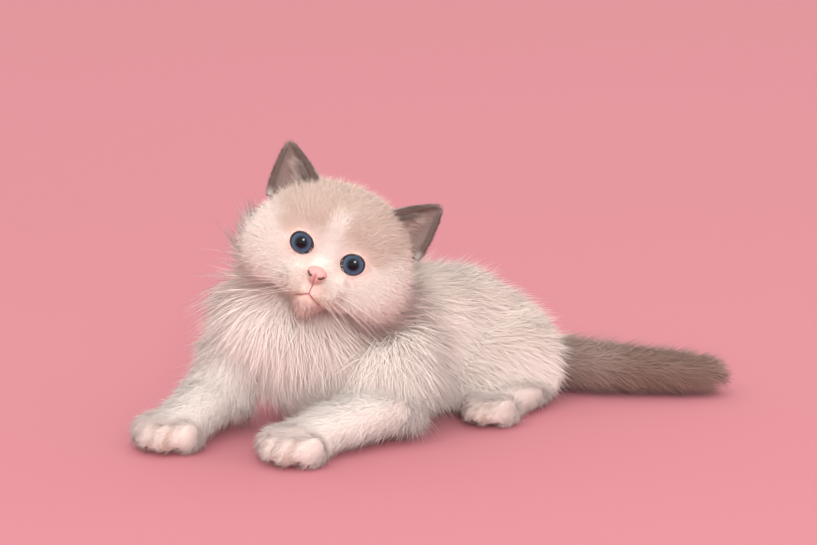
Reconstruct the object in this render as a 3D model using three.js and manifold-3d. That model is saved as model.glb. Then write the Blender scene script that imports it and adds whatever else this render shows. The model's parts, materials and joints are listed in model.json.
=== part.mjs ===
// A ragdoll kitten about eight weeks old, lying on its breast with its head up and tilted,
// its forelegs stretched out in front, its rump rolled on one hip and its tail straight out.
//
// Millimetres, +Z up. +X runs along the body toward the tail, -Y is the side the kitten faces.
// Left and right are the kitten's own. Every surface is the outline of the coat, out to its tips.
// The origin is on the floor under the middle of the whole animal.

import * as THREE from 'three';
import { mergeVertices } from 'three/addons/utils/BufferGeometryUtils.js';
import Module from 'manifold-3d';

const wasm = await Module();
wasm.setup();
const { Manifold, Mesh: SolidMesh } = wasm;

// ---------------------------------------------------------------- driving sizes (mm, degrees)

const gap = 0.3;                   // clearance between neighbouring lengths of the body

const pupilDistance = 26.8;        // between the centres of the eyes
const eyeballRadius = 8.2;
const eyeSetBack = 3.7;            // an eyeball's centre behind the plane of the lids
const lids = { wide: 6.2, high: 5.6, deep: 6, forward: 5.5 };

const headPlace = {
  at: [-38.4, -86, 93.6],          // midpoint between the eyes
  tilt: 22.8,                      // left cheek lowered
  lift: 8,                         // nose raised
  turn: -3.5,                      // nose toward the right foreleg
};

const noseLeather = { at: [0, -14, -10.4], radii: [5, 3.6, 4.2] };

const ear = {
  at: [30.5, 27, 24], lean: 29, turn: 16, back: 4,
  height: 19, sunk: 9, wide: 14.2, deep: 8.5, taper: 0.72,
  hollow: { across: 0.84, up: 0.93, forward: 3.6 },
};

const forePaw = {
  pad: { ahead: -3, radii: [16, 13, 10] },
  toe: { lift: -0.4, radii: [6.3, 8, 8.6] },
  toes: [[-12.5, 5.5], [-4.6, 11], [4.6, 11], [12.5, 5.5]],
};
const hindPaw = {
  pad: { ahead: -13, radii: [11.5, 27, 9.5] },
  toe: { lift: -0.8, radii: [4.3, 9, 7.6] },
  toes: [[-8.2, 14], [-2.9, 18], [2.9, 18], [8.2, 14]],
};

// How finely each kind of body is faceted.
const facets = {
  head: { around: 30, down: 17 },
  neck: { around: 18, down: 10 },
  trunk: { around: 28, down: 16 },
  thigh: { around: 18, down: 10 },
  foot: { around: 22, down: 11 },
  upperArm: { around: 12, along: 3, cap: 2 },
  forearm: { around: 12, along: 4, cap: 2 },
  tail: { around: 12, along: 9, cap: 3 },
};

// ---------------------------------------------------------------- helpers: solids

const up = new THREE.Vector3(0, 0, 1);
const poleAxis = new THREE.Vector3(0, 1, 0);
const unitScale = new THREE.Vector3(1, 1, 1);
const vector = (at) => new THREE.Vector3(...at);
const degrees = THREE.MathUtils.degToRad;

/** Gives a three.js geometry as a welded manifold solid. */
function solidOf(geometry) {
  const bare = new THREE.BufferGeometry();
  bare.setAttribute('position', geometry.getAttribute('position').clone());
  bare.setIndex(geometry.getIndex());
  const welded = mergeVertices(bare, 1e-4);
  const corners = welded.getIndex().array;
  const triangles = [];
  for (let i = 0; i < corners.length; i += 3) {
    const [a, b, c] = [corners[i], corners[i + 1], corners[i + 2]];
    if (a !== b && b !== c && c !== a) triangles.push(a, b, c);
  }
  return new Manifold(new SolidMesh({
    numProp: 3,
    vertProperties: new Float32Array(welded.getAttribute('position').array),
    triVerts: new Uint32Array(triangles),
  }));
}

/** Gives a manifold solid as a three.js geometry. */
function geometryOf(solid) {
  const mesh = solid.getMesh();
  const geometry = new THREE.BufferGeometry();
  geometry.setAttribute('position', new THREE.BufferAttribute(mesh.vertProperties, 3));
  geometry.setIndex(new THREE.BufferAttribute(mesh.triVerts, 1));
  geometry.computeVertexNormals();
  return geometry;
}

/** An ellipsoid as a solid. */
function ellipsoid(at, radii, around, down) {
  const ball = new THREE.SphereGeometry(1, around, down);
  ball.scale(...radii);
  ball.translate(...at);
  return solidOf(ball);
}

const biggest = (solids) => solids.reduce((a, b) => (b.volume() > a.volume() ? b : a));
const largest = (solid) => biggest(solid.decompose());
const cutBy = (solid, cutters) => cutters.reduce((left, cutter) => left.subtract(cutter), solid);

// ---------------------------------------------------------------- helpers: flesh

/** A flesh blob: centre, three radii, and a turn about the upright. */
const blob = (at, radii, turn = 0) => (
  { at: vector(at), radii: vector(radii), turn: degrees(turn) });

/** How far a point lies outside one blob; below zero inside it. */
function outsideOne(point, { at, radii, turn }) {
  const local = point.clone().sub(at).applyAxisAngle(up, -turn);
  const shortest = Math.min(radii.x, radii.y, radii.z);
  return (local.divide(radii).length() - 1) * shortest;
}

/** How far a point lies outside blobs melted into one another over the length `blend`. */
function outsideAll(point, blobs, blend) {
  const sum = blobs.reduce((total, one) => total + Math.exp(-outsideOne(point, one) / blend), 0);
  return -blend * Math.log(sum);
}

/**
 * A closed skin drawn round melted blobs, as seen from one point inside them all.
 * `pole` is where its lattice gathers; `grow` moves it outward, to cut room in a neighbour.
 */
function swell({ from, blobs, blend, around, down, pole = [0, 0, 1], grow = 0 }) {
  const centre = vector(from);
  const reach = Math.max(...blobs.map(({ at, radii }) => (
    at.distanceTo(centre) + radii.length() + blend * blobs.length)));
  const lattice = new THREE.SphereGeometry(1, around, down);
  lattice.applyQuaternion(new THREE.Quaternion().setFromUnitVectors(
    poleAxis, vector(pole).normalize()));
  const position = lattice.getAttribute('position');
  const strides = 60;
  const halvings = 14;
  const probe = new THREE.Vector3();
  for (let i = 0; i < position.count; i += 1) {
    const ray = new THREE.Vector3().fromBufferAttribute(position, i).normalize();
    const isOutside = (distance) => {
      probe.copy(ray).multiplyScalar(distance).add(centre);
      return outsideAll(probe, blobs, blend) > grow;
    };
    let near = reach;
    while (near > 0 && isOutside(near)) near -= reach / strides;
    let far = near + reach / strides;
    for (let k = 0; k < halvings; k += 1) {
      const middle = (near + far) / 2;
      if (isOutside(middle)) far = middle;
      else near = middle;
    }
    probe.copy(ray).multiplyScalar(near).add(centre);
    position.setXYZ(i, probe.x, probe.y, probe.z);
  }
  return solidOf(lattice);
}

/**
 * A limb run through stations {at, wide, high}: `high` is square to the limb and toward the
 * sky, `wide` across it. Both ends are domes.
 */
function limb({ stations, around, along, cap, grow = 0 }) {
  const path = new THREE.CatmullRomCurve3(stations.map(({ at }) => vector(at)));
  const girth = new THREE.CatmullRomCurve3(
    stations.map(({ wide, high }) => new THREE.Vector3(wide, high, 0)));
  const lattice = new THREE.CapsuleGeometry(1, 1, cap, around, along);
  const position = lattice.getAttribute('position');
  for (let i = 0; i < position.count; i += 1) {
    const [across, lengthwise, lifted] = [position.getX(i), position.getY(i), position.getZ(i)];
    const t = THREE.MathUtils.clamp(lengthwise + 0.5, 0, 1);
    const beyond = lengthwise + 0.5 - t;
    const tangent = path.getTangent(t);
    const side = new THREE.Vector3().crossVectors(tangent, up).normalize();
    const lift = new THREE.Vector3().crossVectors(side, tangent);
    const size = girth.getPoint(t).addScalar(grow);
    const place = path.getPoint(t)
      .addScaledVector(tangent, beyond * (size.x + size.y) / 2)
      .addScaledVector(side, across * size.x)
      .addScaledVector(lift, lifted * size.y);
    position.setXYZ(i, place.x, place.y, place.z);
  }
  return solidOf(lattice);
}

/** Parts a solid by a thin plane cut: [the piece behind `at`, the piece beyond it]. */
function part(solid, at, along) {
  const span = 100;
  const blade = new THREE.BoxGeometry(span, span, gap);
  blade.applyQuaternion(new THREE.Quaternion().setFromUnitVectors(up, vector(along).normalize()));
  blade.translate(...at);
  const ahead = (piece) => {
    const { min, max } = piece.boundingBox();
    const middle = vector(min).add(vector(max)).multiplyScalar(0.5);
    return middle.sub(vector(at)).dot(vector(along)) > 0;
  };
  const pieces = solid.subtract(solidOf(blade)).decompose();
  return [biggest(pieces.filter((piece) => !ahead(piece))), biggest(pieces.filter(ahead))];
}

// What would hang lower than the floor is pressed flat on it.
const floorBlock = new THREE.BoxGeometry(600, 600, 100);
floorBlock.translate(0, 0, -50);
const floor = solidOf(floorBlock);
const onFloor = (solid) => largest(solid.subtract(floor));

// ---------------------------------------------------------------- head
// Its own frame: origin between the eyes, +X the kitten's left, -Y out of the face, +Z the crown.

const headFrame = new THREE.Matrix4().compose(
  vector(headPlace.at),
  new THREE.Quaternion().setFromEuler(new THREE.Euler(
    degrees(-headPlace.lift), degrees(headPlace.tilt), degrees(headPlace.turn), 'ZXY')),
  unitScale);
const inHeadFrame = (solid) => solid.transform(headFrame.toArray());
const onBothSides = (make) => [-1, 1].map(make);

const headBlobs = [
  blob([0, 23, 5], [38.5, 31, 29.5]),                                   // cranium
  ...onBothSides((side) => blob([side * 24, 15, -9], [20, 21, 21])),    // cheek ruffs
  blob([0, 9, -14], [23, 17, 13]),                                      // lower face
  blob([0, -1, -8], [6, 9, 9]),                                         // bridge of the nose
  ...onBothSides((side) => blob([side * 6, -6.5, -15.5], [8, 8, 7])),   // whisker pads
  blob([0, -4.5, -23], [7.5, 7.5, 5]),                                  // chin
];
const headShape = (grow = 0) => inHeadFrame(swell({
  from: [0, 12, -6], blobs: headBlobs, blend: 2.6, ...facets.head, pole: [0, -1, 0], grow }));

const eyeball = (side, grow = 0) => {
  const radius = eyeballRadius + grow;
  return inHeadFrame(ellipsoid(
    [side * pupilDistance / 2, eyeSetBack, 0], [radius, radius, radius], 12, 8));
};
const lidOpening = (side) => inHeadFrame(ellipsoid(
  [side * pupilDistance / 2, -lids.forward, 0], [lids.wide, lids.deep, lids.high], 12, 6));

const noseShape = (grow = 0) => inHeadFrame(ellipsoid(
  noseLeather.at, noseLeather.radii.map((radius) => radius + grow), 10, 6));

/** A cone with a swelling side, root sunk below the origin and tip up, for an ear. */
function earCone({ across, upward, forward }) {
  const rings = 5;
  const outline = [new THREE.Vector2(0, -ear.sunk)];
  for (let i = 0; i <= rings; i += 1) {
    const t = i / rings;
    const radius = i === rings ? 0 : (1 - t) ** ear.taper;
    outline.push(new THREE.Vector2(radius, t * (ear.height + ear.sunk) * upward - ear.sunk));
  }
  const cone = new THREE.LatheGeometry(outline, 14);
  cone.rotateX(Math.PI / 2);
  cone.scale(ear.wide * across, ear.deep * across, 1);
  cone.translate(0, -forward, 0);
  return solidOf(cone);
}
function earShape(side) {
  const { across, up: upward, forward } = ear.hollow;
  const shell = earCone({ across: 1, upward: 1, forward: 0 })
    .subtract(earCone({ across, upward, forward }));
  const place = new THREE.Matrix4().compose(
    vector([side * ear.at[0], ear.at[1], ear.at[2]]),
    new THREE.Quaternion().setFromEuler(new THREE.Euler(
      degrees(-ear.back), degrees(side * ear.lean), degrees(side * ear.turn), 'YXZ')),
    unitScale);
  return inHeadFrame(shell.transform(place.toArray()));
}

// ---------------------------------------------------------------- neck and trunk

const neckShape = (grow = 0) => swell({
  from: [-40, -58, 62],
  blobs: [
    blob([-45, -62, 64], [43, 24, 27]),        // ruff under the cheeks
    blob([-36, -46, 62], [35, 26, 24]),        // nape
  ],
  blend: 4, ...facets.neck, grow });

const trunkShape = (grow = 0) => swell({
  from: [0, -18, 36],
  blobs: [
    blob([-46, -52, 38], [34, 26, 38]),        // breast
    blob([-28, -38, 42], [36, 30, 34]),        // shoulders
    blob([0, -14, 38], [36, 32, 37]),          // ribs
    blob([22, 3, 36], [34, 31, 34]),           // loins
    blob([43, 16, 26], [31, 31, 28]),          // rump
    blob([8, -20, 14], [26, 20, 16]),          // long fringe of the flank
  ],
  blend: 3, ...facets.trunk, pole: [0.82, 0.57, 0], grow });

// ---------------------------------------------------------------- legs
// The right foreleg reaches out to the side; the left one lies across the front.

const forelegs = {
  right: {
    upper: [
      { at: [-70, -48, 48], wide: 22, high: 22 },
      { at: [-82, -51, 37], wide: 21, high: 21 },
      { at: [-89, -55, 27], wide: 18, high: 18 },
    ],
    forearm: [
      { at: [-90, -57, 21], wide: 16.5, high: 16 },
      { at: [-100, -73, 15], wide: 15, high: 14 },
      { at: [-108, -86, 11.5], wide: 14.5, high: 11.5 },
    ],
    paw: { at: [-113, -92.5, 8.6], heading: [-0.5, -0.87] },
  },
  left: {
    upper: [
      { at: [-16, -52, 40], wide: 24, high: 24 },
      { at: [-12, -62, 30], wide: 24, high: 23 },
      { at: [-9, -71, 21], wide: 20, high: 19 },
    ],
    forearm: [
      { at: [-9, -78, 16], wide: 17.5, high: 16 },
      { at: [-26, -93, 13.5], wide: 15.5, high: 13.5 },
      { at: [-42, -106, 11.2], wide: 14.5, high: 11.5 },
    ],
    paw: { at: [-52, -115, 8.4], heading: [-0.62, -0.78] },
  },
};

const hindlegs = {
  right: {
    thigh: [
      blob([16, 32, 26], [28, 22, 25], 30),
      blob([26, 40, 18], [22, 20, 18], 30),
    ],
    from: [20, 36, 22],
    foot: { at: [-12, 42, 8.6], heading: [-0.9, -0.35] },
  },
  left: {
    thigh: [
      blob([44, -10, 24], [30, 22, 25], 35),
      blob([34, -26, 16], [22, 16, 16], 30),
      blob([57, 0, 22], [21, 24, 22], 30),
    ],
    from: [46, -10, 22],
    foot: { at: [48, -40, 8.6], heading: [-0.6, -0.8] },
  },
};

/** A foot: a pad with four toes, set along its heading. A toe is [across, ahead]. */
function footShape({ at, heading }, { pad, toe, toes }) {
  const ahead = new THREE.Vector3(...heading, 0).normalize();
  const across = new THREE.Vector3(ahead.y, -ahead.x, 0);
  const turn = THREE.MathUtils.radToDeg(Math.atan2(ahead.y, ahead.x)) - 90;
  const spot = (side, front, lift) => vector(at)
    .addScaledVector(across, side)
    .addScaledVector(ahead, front)
    .addScaledVector(up, lift)
    .toArray();
  return swell({
    from: at,
    blobs: [
      blob(spot(0, pad.ahead, 0), pad.radii, turn),
      ...toes.map(([side, front]) => blob(spot(side, front, toe.lift), toe.radii, turn)),
    ],
    blend: 0.8, ...facets.foot });
}

const thighShape = ({ thigh, from }, grow = 0) => swell({
  from, blobs: thigh, blend: 3, ...facets.thigh, grow });

// ---------------------------------------------------------------- tail

const tail = {
  stations: [
    { at: [54, 20, 22], wide: 15, high: 15 },
    { at: [78, 15, 15], wide: 15, high: 15 },
    { at: [110, 10, 12.8], wide: 14, high: 13.4 },
    { at: [136, 8, 11.4], wide: 12.5, high: 12 },
    { at: [154, 7, 10.4], wide: 11, high: 10.8 },
  ],
  cuts: [
    { at: [104, 11, 13], along: [1, -0.15, 0] },
    { at: [134, 8, 11.5], along: [1, -0.1, 0] },
  ],
};
const tailShape = (grow = 0) => limb({ stations: tail.stations, ...facets.tail, grow });

// ---------------------------------------------------------------- cutting to fit
// Each piece gives way to the ones before it: head, neck, trunk, then legs and tail.

const headRoom = headShape(gap);
const neckRoom = neckShape(gap);
const bodyRoom = headRoom.add(neckRoom).add(trunkShape(gap));

const head = largest(cutBy(headShape(), [
  ...onBothSides((side) => eyeball(side, gap)),
  ...onBothSides(lidOpening),
  noseShape(gap),
]));
const neck = largest(neckShape().subtract(headRoom));
const trunk = onFloor(cutBy(trunkShape(), [headRoom, neckRoom]));

function foreleg({ upper, forearm, paw }) {
  const upperShape = (grow = 0) => limb({ stations: upper, ...facets.upperArm, grow });
  const forearmShape = (grow = 0) => limb({ stations: forearm, ...facets.forearm, grow });
  const upperRoom = upperShape(gap);
  return {
    upper: onFloor(upperShape().subtract(bodyRoom)),
    forearm: onFloor(cutBy(forearmShape(), [upperRoom, bodyRoom])),
    paw: onFloor(cutBy(footShape(paw, forePaw), [forearmShape(gap), upperRoom])),
  };
}

const [tailRoot, tailFree] = part(
  onFloor(tailShape().subtract(bodyRoom)), tail.cuts[0].at, tail.cuts[0].along);
const [tailMiddle, tailTip] = part(tailFree, tail.cuts[1].at, tail.cuts[1].along);
const tailRoom = tailShape(gap);

function hindleg(leg) {
  return {
    thigh: onFloor(cutBy(thighShape(leg), [bodyRoom, tailRoom])),
    foot: onFloor(cutBy(footShape(leg.foot, hindPaw), [thighShape(leg, gap), bodyRoom, tailRoom])),
  };
}

const foreLeft = foreleg(forelegs.left);
const foreRight = foreleg(forelegs.right);
const hindLeft = hindleg(hindlegs.left);
const hindRight = hindleg(hindlegs.right);

// ---------------------------------------------------------------- finishes

const finish = (colour, roughness) => () => new THREE.MeshStandardMaterial({
  color: new THREE.Color(colour), roughness, metalness: 0 });
const creamCoat = finish('#efe3d8', 0.9);
const beigeCoat = finish('#d9c3b6', 0.9);
const taupeCoat = finish('#8b7268', 0.9);
const eyeGloss = finish('#5a7ba0', 0.1);
const noseSkin = finish('#d9a29a', 0.6);

// ---------------------------------------------------------------- assembly

const pieces = {
  head: [head, creamCoat],
  nose: [noseShape(), noseSkin],
  eye_left: [eyeball(1), eyeGloss],
  eye_right: [eyeball(-1), eyeGloss],
  ear_left: [largest(earShape(1).subtract(headRoom)), taupeCoat],
  ear_right: [largest(earShape(-1).subtract(headRoom)), taupeCoat],
  neck: [neck, creamCoat],
  trunk: [trunk, beigeCoat],
  foreleg_left_upper: [foreLeft.upper, creamCoat],
  foreleg_left_forearm: [foreLeft.forearm, creamCoat],
  foreleg_left_paw: [foreLeft.paw, creamCoat],
  foreleg_right_upper: [foreRight.upper, creamCoat],
  foreleg_right_forearm: [foreRight.forearm, creamCoat],
  foreleg_right_paw: [foreRight.paw, creamCoat],
  hindleg_left_thigh: [hindLeft.thigh, creamCoat],
  hindleg_left_foot: [hindLeft.foot, creamCoat],
  hindleg_right_thigh: [hindRight.thigh, creamCoat],
  hindleg_right_foot: [hindRight.foot, creamCoat],
  tail_root: [tailRoot, taupeCoat],
  tail_middle: [tailMiddle, taupeCoat],
  tail_tip: [tailTip, taupeCoat],
};

const kitten = new THREE.Group();
kitten.name = 'ragdoll_kitten';
for (const [name, [solid, material]] of Object.entries(pieces)) {
  const geometry = geometryOf(solid);
  geometry.computeBoundingBox();
  const middle = geometry.boundingBox.getCenter(new THREE.Vector3());
  geometry.translate(-middle.x, -middle.y, -middle.z);
  const mesh = new THREE.Mesh(geometry, material());
  mesh.name = name;
  mesh.position.copy(middle);
  kitten.add(mesh);
}

// The whole animal is moved over its origin.
const bounds = new THREE.Box3().setFromObject(kitten);
const middle = bounds.getCenter(new THREE.Vector3());
kitten.position.set(-middle.x, -middle.y, -bounds.min.z);

export default kitten;
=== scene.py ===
# %% [markdown]
# # A ragdoll kitten with a real coat
# The CAD model gives the kitten's outline out to the tips of its hair. Here one skin is grown
# inside that outline, and then about a hundred and seventy thousand small locks of hair are laid
# over it. Eyes, lids, nose, lips and whiskers are pieces of their own.

# %% Load the frame
import json
import math
import bpy
import bmesh
import numpy as np
from mathutils import Matrix, Vector
from mathutils.bvhtree import BVHTree
from mathutils.kdtree import KDTree

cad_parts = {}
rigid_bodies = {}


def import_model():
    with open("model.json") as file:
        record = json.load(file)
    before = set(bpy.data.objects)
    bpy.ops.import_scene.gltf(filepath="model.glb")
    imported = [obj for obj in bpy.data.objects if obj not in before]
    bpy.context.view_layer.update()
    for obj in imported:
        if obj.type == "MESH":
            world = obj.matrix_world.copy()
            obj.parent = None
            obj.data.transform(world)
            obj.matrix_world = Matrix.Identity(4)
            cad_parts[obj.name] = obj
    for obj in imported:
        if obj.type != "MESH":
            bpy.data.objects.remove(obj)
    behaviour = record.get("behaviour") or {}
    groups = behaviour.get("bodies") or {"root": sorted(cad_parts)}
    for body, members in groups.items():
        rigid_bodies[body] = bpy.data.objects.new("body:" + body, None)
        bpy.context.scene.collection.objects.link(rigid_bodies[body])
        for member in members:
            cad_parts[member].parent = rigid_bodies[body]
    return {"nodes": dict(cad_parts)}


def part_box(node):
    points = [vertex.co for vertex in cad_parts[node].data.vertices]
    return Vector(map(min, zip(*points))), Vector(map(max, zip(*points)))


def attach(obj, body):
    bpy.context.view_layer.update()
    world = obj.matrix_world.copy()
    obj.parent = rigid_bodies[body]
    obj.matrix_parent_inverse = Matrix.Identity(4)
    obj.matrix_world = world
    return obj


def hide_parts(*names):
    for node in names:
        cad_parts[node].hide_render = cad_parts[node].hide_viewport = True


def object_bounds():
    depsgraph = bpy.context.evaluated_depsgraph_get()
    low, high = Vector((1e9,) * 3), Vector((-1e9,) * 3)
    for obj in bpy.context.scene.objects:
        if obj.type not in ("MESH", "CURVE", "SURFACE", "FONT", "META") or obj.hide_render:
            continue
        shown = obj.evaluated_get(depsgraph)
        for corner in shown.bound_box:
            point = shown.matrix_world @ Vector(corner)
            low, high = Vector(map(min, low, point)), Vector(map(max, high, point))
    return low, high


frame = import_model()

cad_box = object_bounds()
MM = 0.001
print("CAD box", cad_box)

# %% [markdown]
# ## Where things are
# Every place comes from the CAD nodes. The head has its own frame, because the kitten tilts it:
# the two eyeballs give its left-right axis, and the nose gives the way the face looks. In that
# frame a face can be modelled upright, in millimetres, and put in place by one matrix.

# %% Small helpers for places
def middle(node):
    low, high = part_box(node)
    return (np.array(low) + np.array(high)) / 2


def unit(v):
    v = np.asarray(v, float)
    return v / np.maximum(np.linalg.norm(v, axis=-1, keepdims=True), 1e-12)


# %% The head's frame
NOSE_AHEAD, NOSE_DOWN = 17.7, 10.4        # the nose ahead of and below the eyeballs' centres, mm
eye_l, eye_r = middle("eye_left"), middle("eye_right")
head_x = unit(eye_l - eye_r)
to_nose = middle("nose") - (eye_l + eye_r) / 2
to_nose = unit(to_nose - head_x * np.dot(to_nose, head_x))
nose_angle = math.atan2(NOSE_DOWN, NOSE_AHEAD)
across_nose = np.cross(head_x, to_nose)
head_z = -math.sin(nose_angle) * to_nose - math.cos(nose_angle) * across_nose
head_y = np.cross(head_z, head_x)
head_axes = np.stack([head_x, head_y, head_z])       # rows
EYE_SET_BACK = 3.7
head_origin = (eye_l + eye_r) / 2 - head_y * EYE_SET_BACK * MM


def in_head(points_m):
    """Points of the row frame as millimetres in the head's frame."""
    return (np.asarray(points_m, float) - head_origin) @ head_axes.T / MM


def from_head(points_mm):
    """Millimetres in the head's frame as points of the row frame."""
    return head_origin + np.asarray(points_mm, float) * MM @ head_axes


head_matrix = Matrix([[*(head_axes[:, i] * MM), head_origin[i]] for i in range(3)] + [[0, 0, 0, 1]])
print("pupils apart, mm", round(np.linalg.norm(eye_l - eye_r) / MM, 1))
print("head looks along", np.round(-head_y, 2))

# %% [markdown]
# ## Camera, floor and light
# A long lens looks slightly down at the kitten. The floor is one plain pale colour, and the world
# around it is a bright even surface that fills the shadows. Two wide lamps add a soft direction, a
# round one behind lights the back, and a small lamp near the camera leaves the catchlight in each
# eye.

# %% Camera
LENS, SENSOR = 105, 36                     # mm
CAMERA_UP, CAMERA_DISTANCE = math.radians(12), 1.222
AIM = np.array([0.4466, 0.6884, 0.4651])   # where the camera looks, as parts of the CAD box
low, high = np.array(cad_box[0]), np.array(cad_box[1])
target = low + (high - low) * AIM
camera_data = bpy.data.cameras.new("camera")
camera_data.lens, camera_data.sensor_width = LENS, SENSOR
camera = bpy.data.objects.new("camera", camera_data)
bpy.context.collection.objects.link(camera)
away = np.array([0, -math.cos(CAMERA_UP), math.sin(CAMERA_UP)])
camera.location = target + CAMERA_DISTANCE * away
camera.rotation_euler = (math.pi / 2 - CAMERA_UP, 0, 0)
bpy.context.scene.camera = camera
print("camera at", tuple(round(v, 3) for v in camera.location))


# %% A helper for plain materials
def plain_material(name, colour, roughness):
    material = bpy.data.materials.new(name)
    material.use_nodes = True
    shader = material.node_tree.nodes["Principled BSDF"]
    shader.inputs["Base Color"].default_value = (*colour, 1)
    shader.inputs["Roughness"].default_value = roughness
    return material


# %% Floor
FLOOR_SIZE, FLOOR_PINK = 14, (0.48, 0.178, 0.208)
bpy.ops.object.select_all(action="DESELECT")
bpy.ops.mesh.primitive_plane_add(size=FLOOR_SIZE, location=(0, 0, 0))
floor = bpy.context.object
floor.name = "studio_floor"
floor.data.materials.append(plain_material("pale_paper", FLOOR_PINK, 0.9))


# %% Lamps
def hang(name, kind, azimuth, elevation, distance, strength):
    """A lamp that looks at the kitten. Azimuth 0 stands at the camera's side."""
    a, e = math.radians(azimuth), math.radians(elevation)
    way = Vector((math.sin(a) * math.cos(e), -math.cos(a) * math.cos(e), math.sin(e)))
    lamp = bpy.data.lights.new(name, kind)
    lamp.energy = strength
    holder = bpy.data.objects.new(name, lamp)
    holder.location = Vector(target) + way * distance
    holder.rotation_euler = (-way).to_track_quat("-Z", "Y").to_euler()
    bpy.context.collection.objects.link(holder)
    return holder


# Suns with a wide disc: their light is even over the whole floor, and they don't show in the eyes.
for name, azimuth, elevation, strength, angle in (("key", -22, 54, 0.78, 70), ("fill", 8, 12, 0.62, 60)):
    sun = hang(name, "SUN", azimuth, elevation, 3, strength)
    sun.data.angle = math.radians(angle)
    sun.visible_glossy = False
# Round lamps; the second is small, and is the one that shows in the eyes.
for name, azimuth, elevation, distance, size, power in (("top_back", 150, 60, 1.8, 1.4, 2),
                                                        ("catch", 6, 25, 1.5, 0.34, 8.0)):
    disc = hang(name, "AREA", azimuth, elevation, distance, power)
    disc.data.shape = "DISK"
    disc.data.size = size

# %% The world, and how far light is followed
world = bpy.data.worlds.new("studio")
world.use_nodes = True
world.node_tree.nodes["Background"].inputs["Color"].default_value = (1.0, 0.905, 0.875, 1)
world.node_tree.nodes["Background"].inputs["Strength"].default_value = 1.24
bpy.context.scene.world = world
bpy.context.scene.view_settings.view_transform = "Standard"
# In a white coat light goes from hair to hair many times, so more of its turns are followed.
bpy.context.scene.cycles.max_bounces = 14
bpy.context.scene.cycles.diffuse_bounces = 10

# %% [markdown]
# ## The skin
# Under the coat a kitten is one smooth body. So the skin is made from copies of all the flesh
# nodes: they are joined, melted together by a voxel remesh, smoothed, and then drawn inward by the
# depth that the coat has there. Ears, feet and face have a thin coat and the ruff a deep one.

# %% The flesh nodes, and the coat on each
# Depth in mm; then a factor for the length of the locks, their lift at the root and at the tip in
# degrees, and how strongly they clump.
legs = {
    "foreleg": {"upper": (7.5, 1.0, 42, 24, 0.08), "forearm": (4.6, 0.95, 36, 18, 0.14),
                "paw": (2.6, 1.0, 34, 14, 0.16)},
    "hindleg": {"thigh": (8.0, 0.92, 42, 24, 0.05), "foot": (2.6, 0.95, 34, 14, 0.16)},
}
coat_table = {"head": (5.0, 0.95, 23, 11, 0.14), "neck": (9.0, 1.0, 46, 26, 0.12),
              "trunk": (8.5, 0.92, 42, 22, 0.05)}
for leg, lengths in legs.items():
    for side in ("left", "right"):
        coat_table.update({f"{leg}_{side}_{part}": values for part, values in lengths.items()})
coat_table.update({"tail_root": (7.5, 0.9, 44, 22, 0.06), "tail_middle": (7.0, 0.9, 44, 22, 0.06),
                   "tail_tip": (6.5, 0.85, 46, 28, 0.05)})
flesh_nodes = list(coat_table)
coat_depth = {node: values[0] for node, values in coat_table.items()}
coat_lie = {node: values[1:] for node, values in coat_table.items()}
print("parts under the skin:", len(flesh_nodes))

# %% [markdown]
# The CAD meshes come as Blender objects, and stay as they are. Small functions copy them, add and
# apply modifiers, and join pieces. Each one deselects everything first, so that an operator never
# acts on something it shouldn't.

# %% Copies of CAD nodes, and new objects
def mesh_of(node):
    """A CAD node's mesh as arrays: corners in metres, triangles, with doubles merged."""
    work = bmesh.new()
    work.from_mesh(frame["nodes"][node].data)
    bmesh.ops.remove_doubles(work, verts=work.verts, dist=1e-6)
    bmesh.ops.triangulate(work, faces=work.faces)
    work.verts.ensure_lookup_table()
    points = np.array([v.co[:] for v in work.verts])
    normals = np.array([v.normal[:] for v in work.verts])
    faces = np.array([[v.index for v in f.verts] for f in work.faces])
    work.free()
    return points, normals, faces


def new_object(name, points, faces):
    """A mesh object from arrays, at the origin, smooth shaded."""
    mesh = bpy.data.meshes.new(name)
    mesh.from_pydata([tuple(p) for p in points], [], [tuple(int(i) for i in f) for f in faces])
    mesh.validate()
    piece = bpy.data.objects.new(name, mesh)
    bpy.context.collection.objects.link(piece)
    mesh.shade_smooth()
    return piece


# %% Operators on one piece
def only(piece):
    """Makes one object the selected and active one."""
    bpy.ops.object.select_all(action="DESELECT")
    piece.select_set(True)
    bpy.context.view_layer.objects.active = piece


def apply_modifier(piece, kind, **settings):
    """Adds a modifier with these settings and applies it."""
    only(piece)
    modifier = piece.modifiers.new(kind.lower(), kind)
    for key, value in settings.items():
        setattr(modifier, key, value)
    bpy.ops.object.modifier_apply(modifier=modifier.name)


def join(pieces, name):
    """Joins objects into the first one."""
    bpy.ops.object.select_all(action="DESELECT")
    for piece in pieces:
        piece.select_set(True)
    bpy.context.view_layer.objects.active = pieces[0]
    bpy.ops.object.join()
    pieces[0].name = pieces[0].data.name = name
    return pieces[0]


def in_edit_mode(piece, *steps):
    """Runs operators, given with their settings, on all of a mesh in Edit mode."""
    only(piece)
    bpy.ops.object.mode_set(mode="EDIT")
    bpy.ops.mesh.select_all(action="SELECT")
    for step, settings in steps:
        step(**settings)
    bpy.ops.object.mode_set(mode="OBJECT")


FACES_OUT = (bpy.ops.mesh.normals_make_consistent, {"inside": False})

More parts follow.
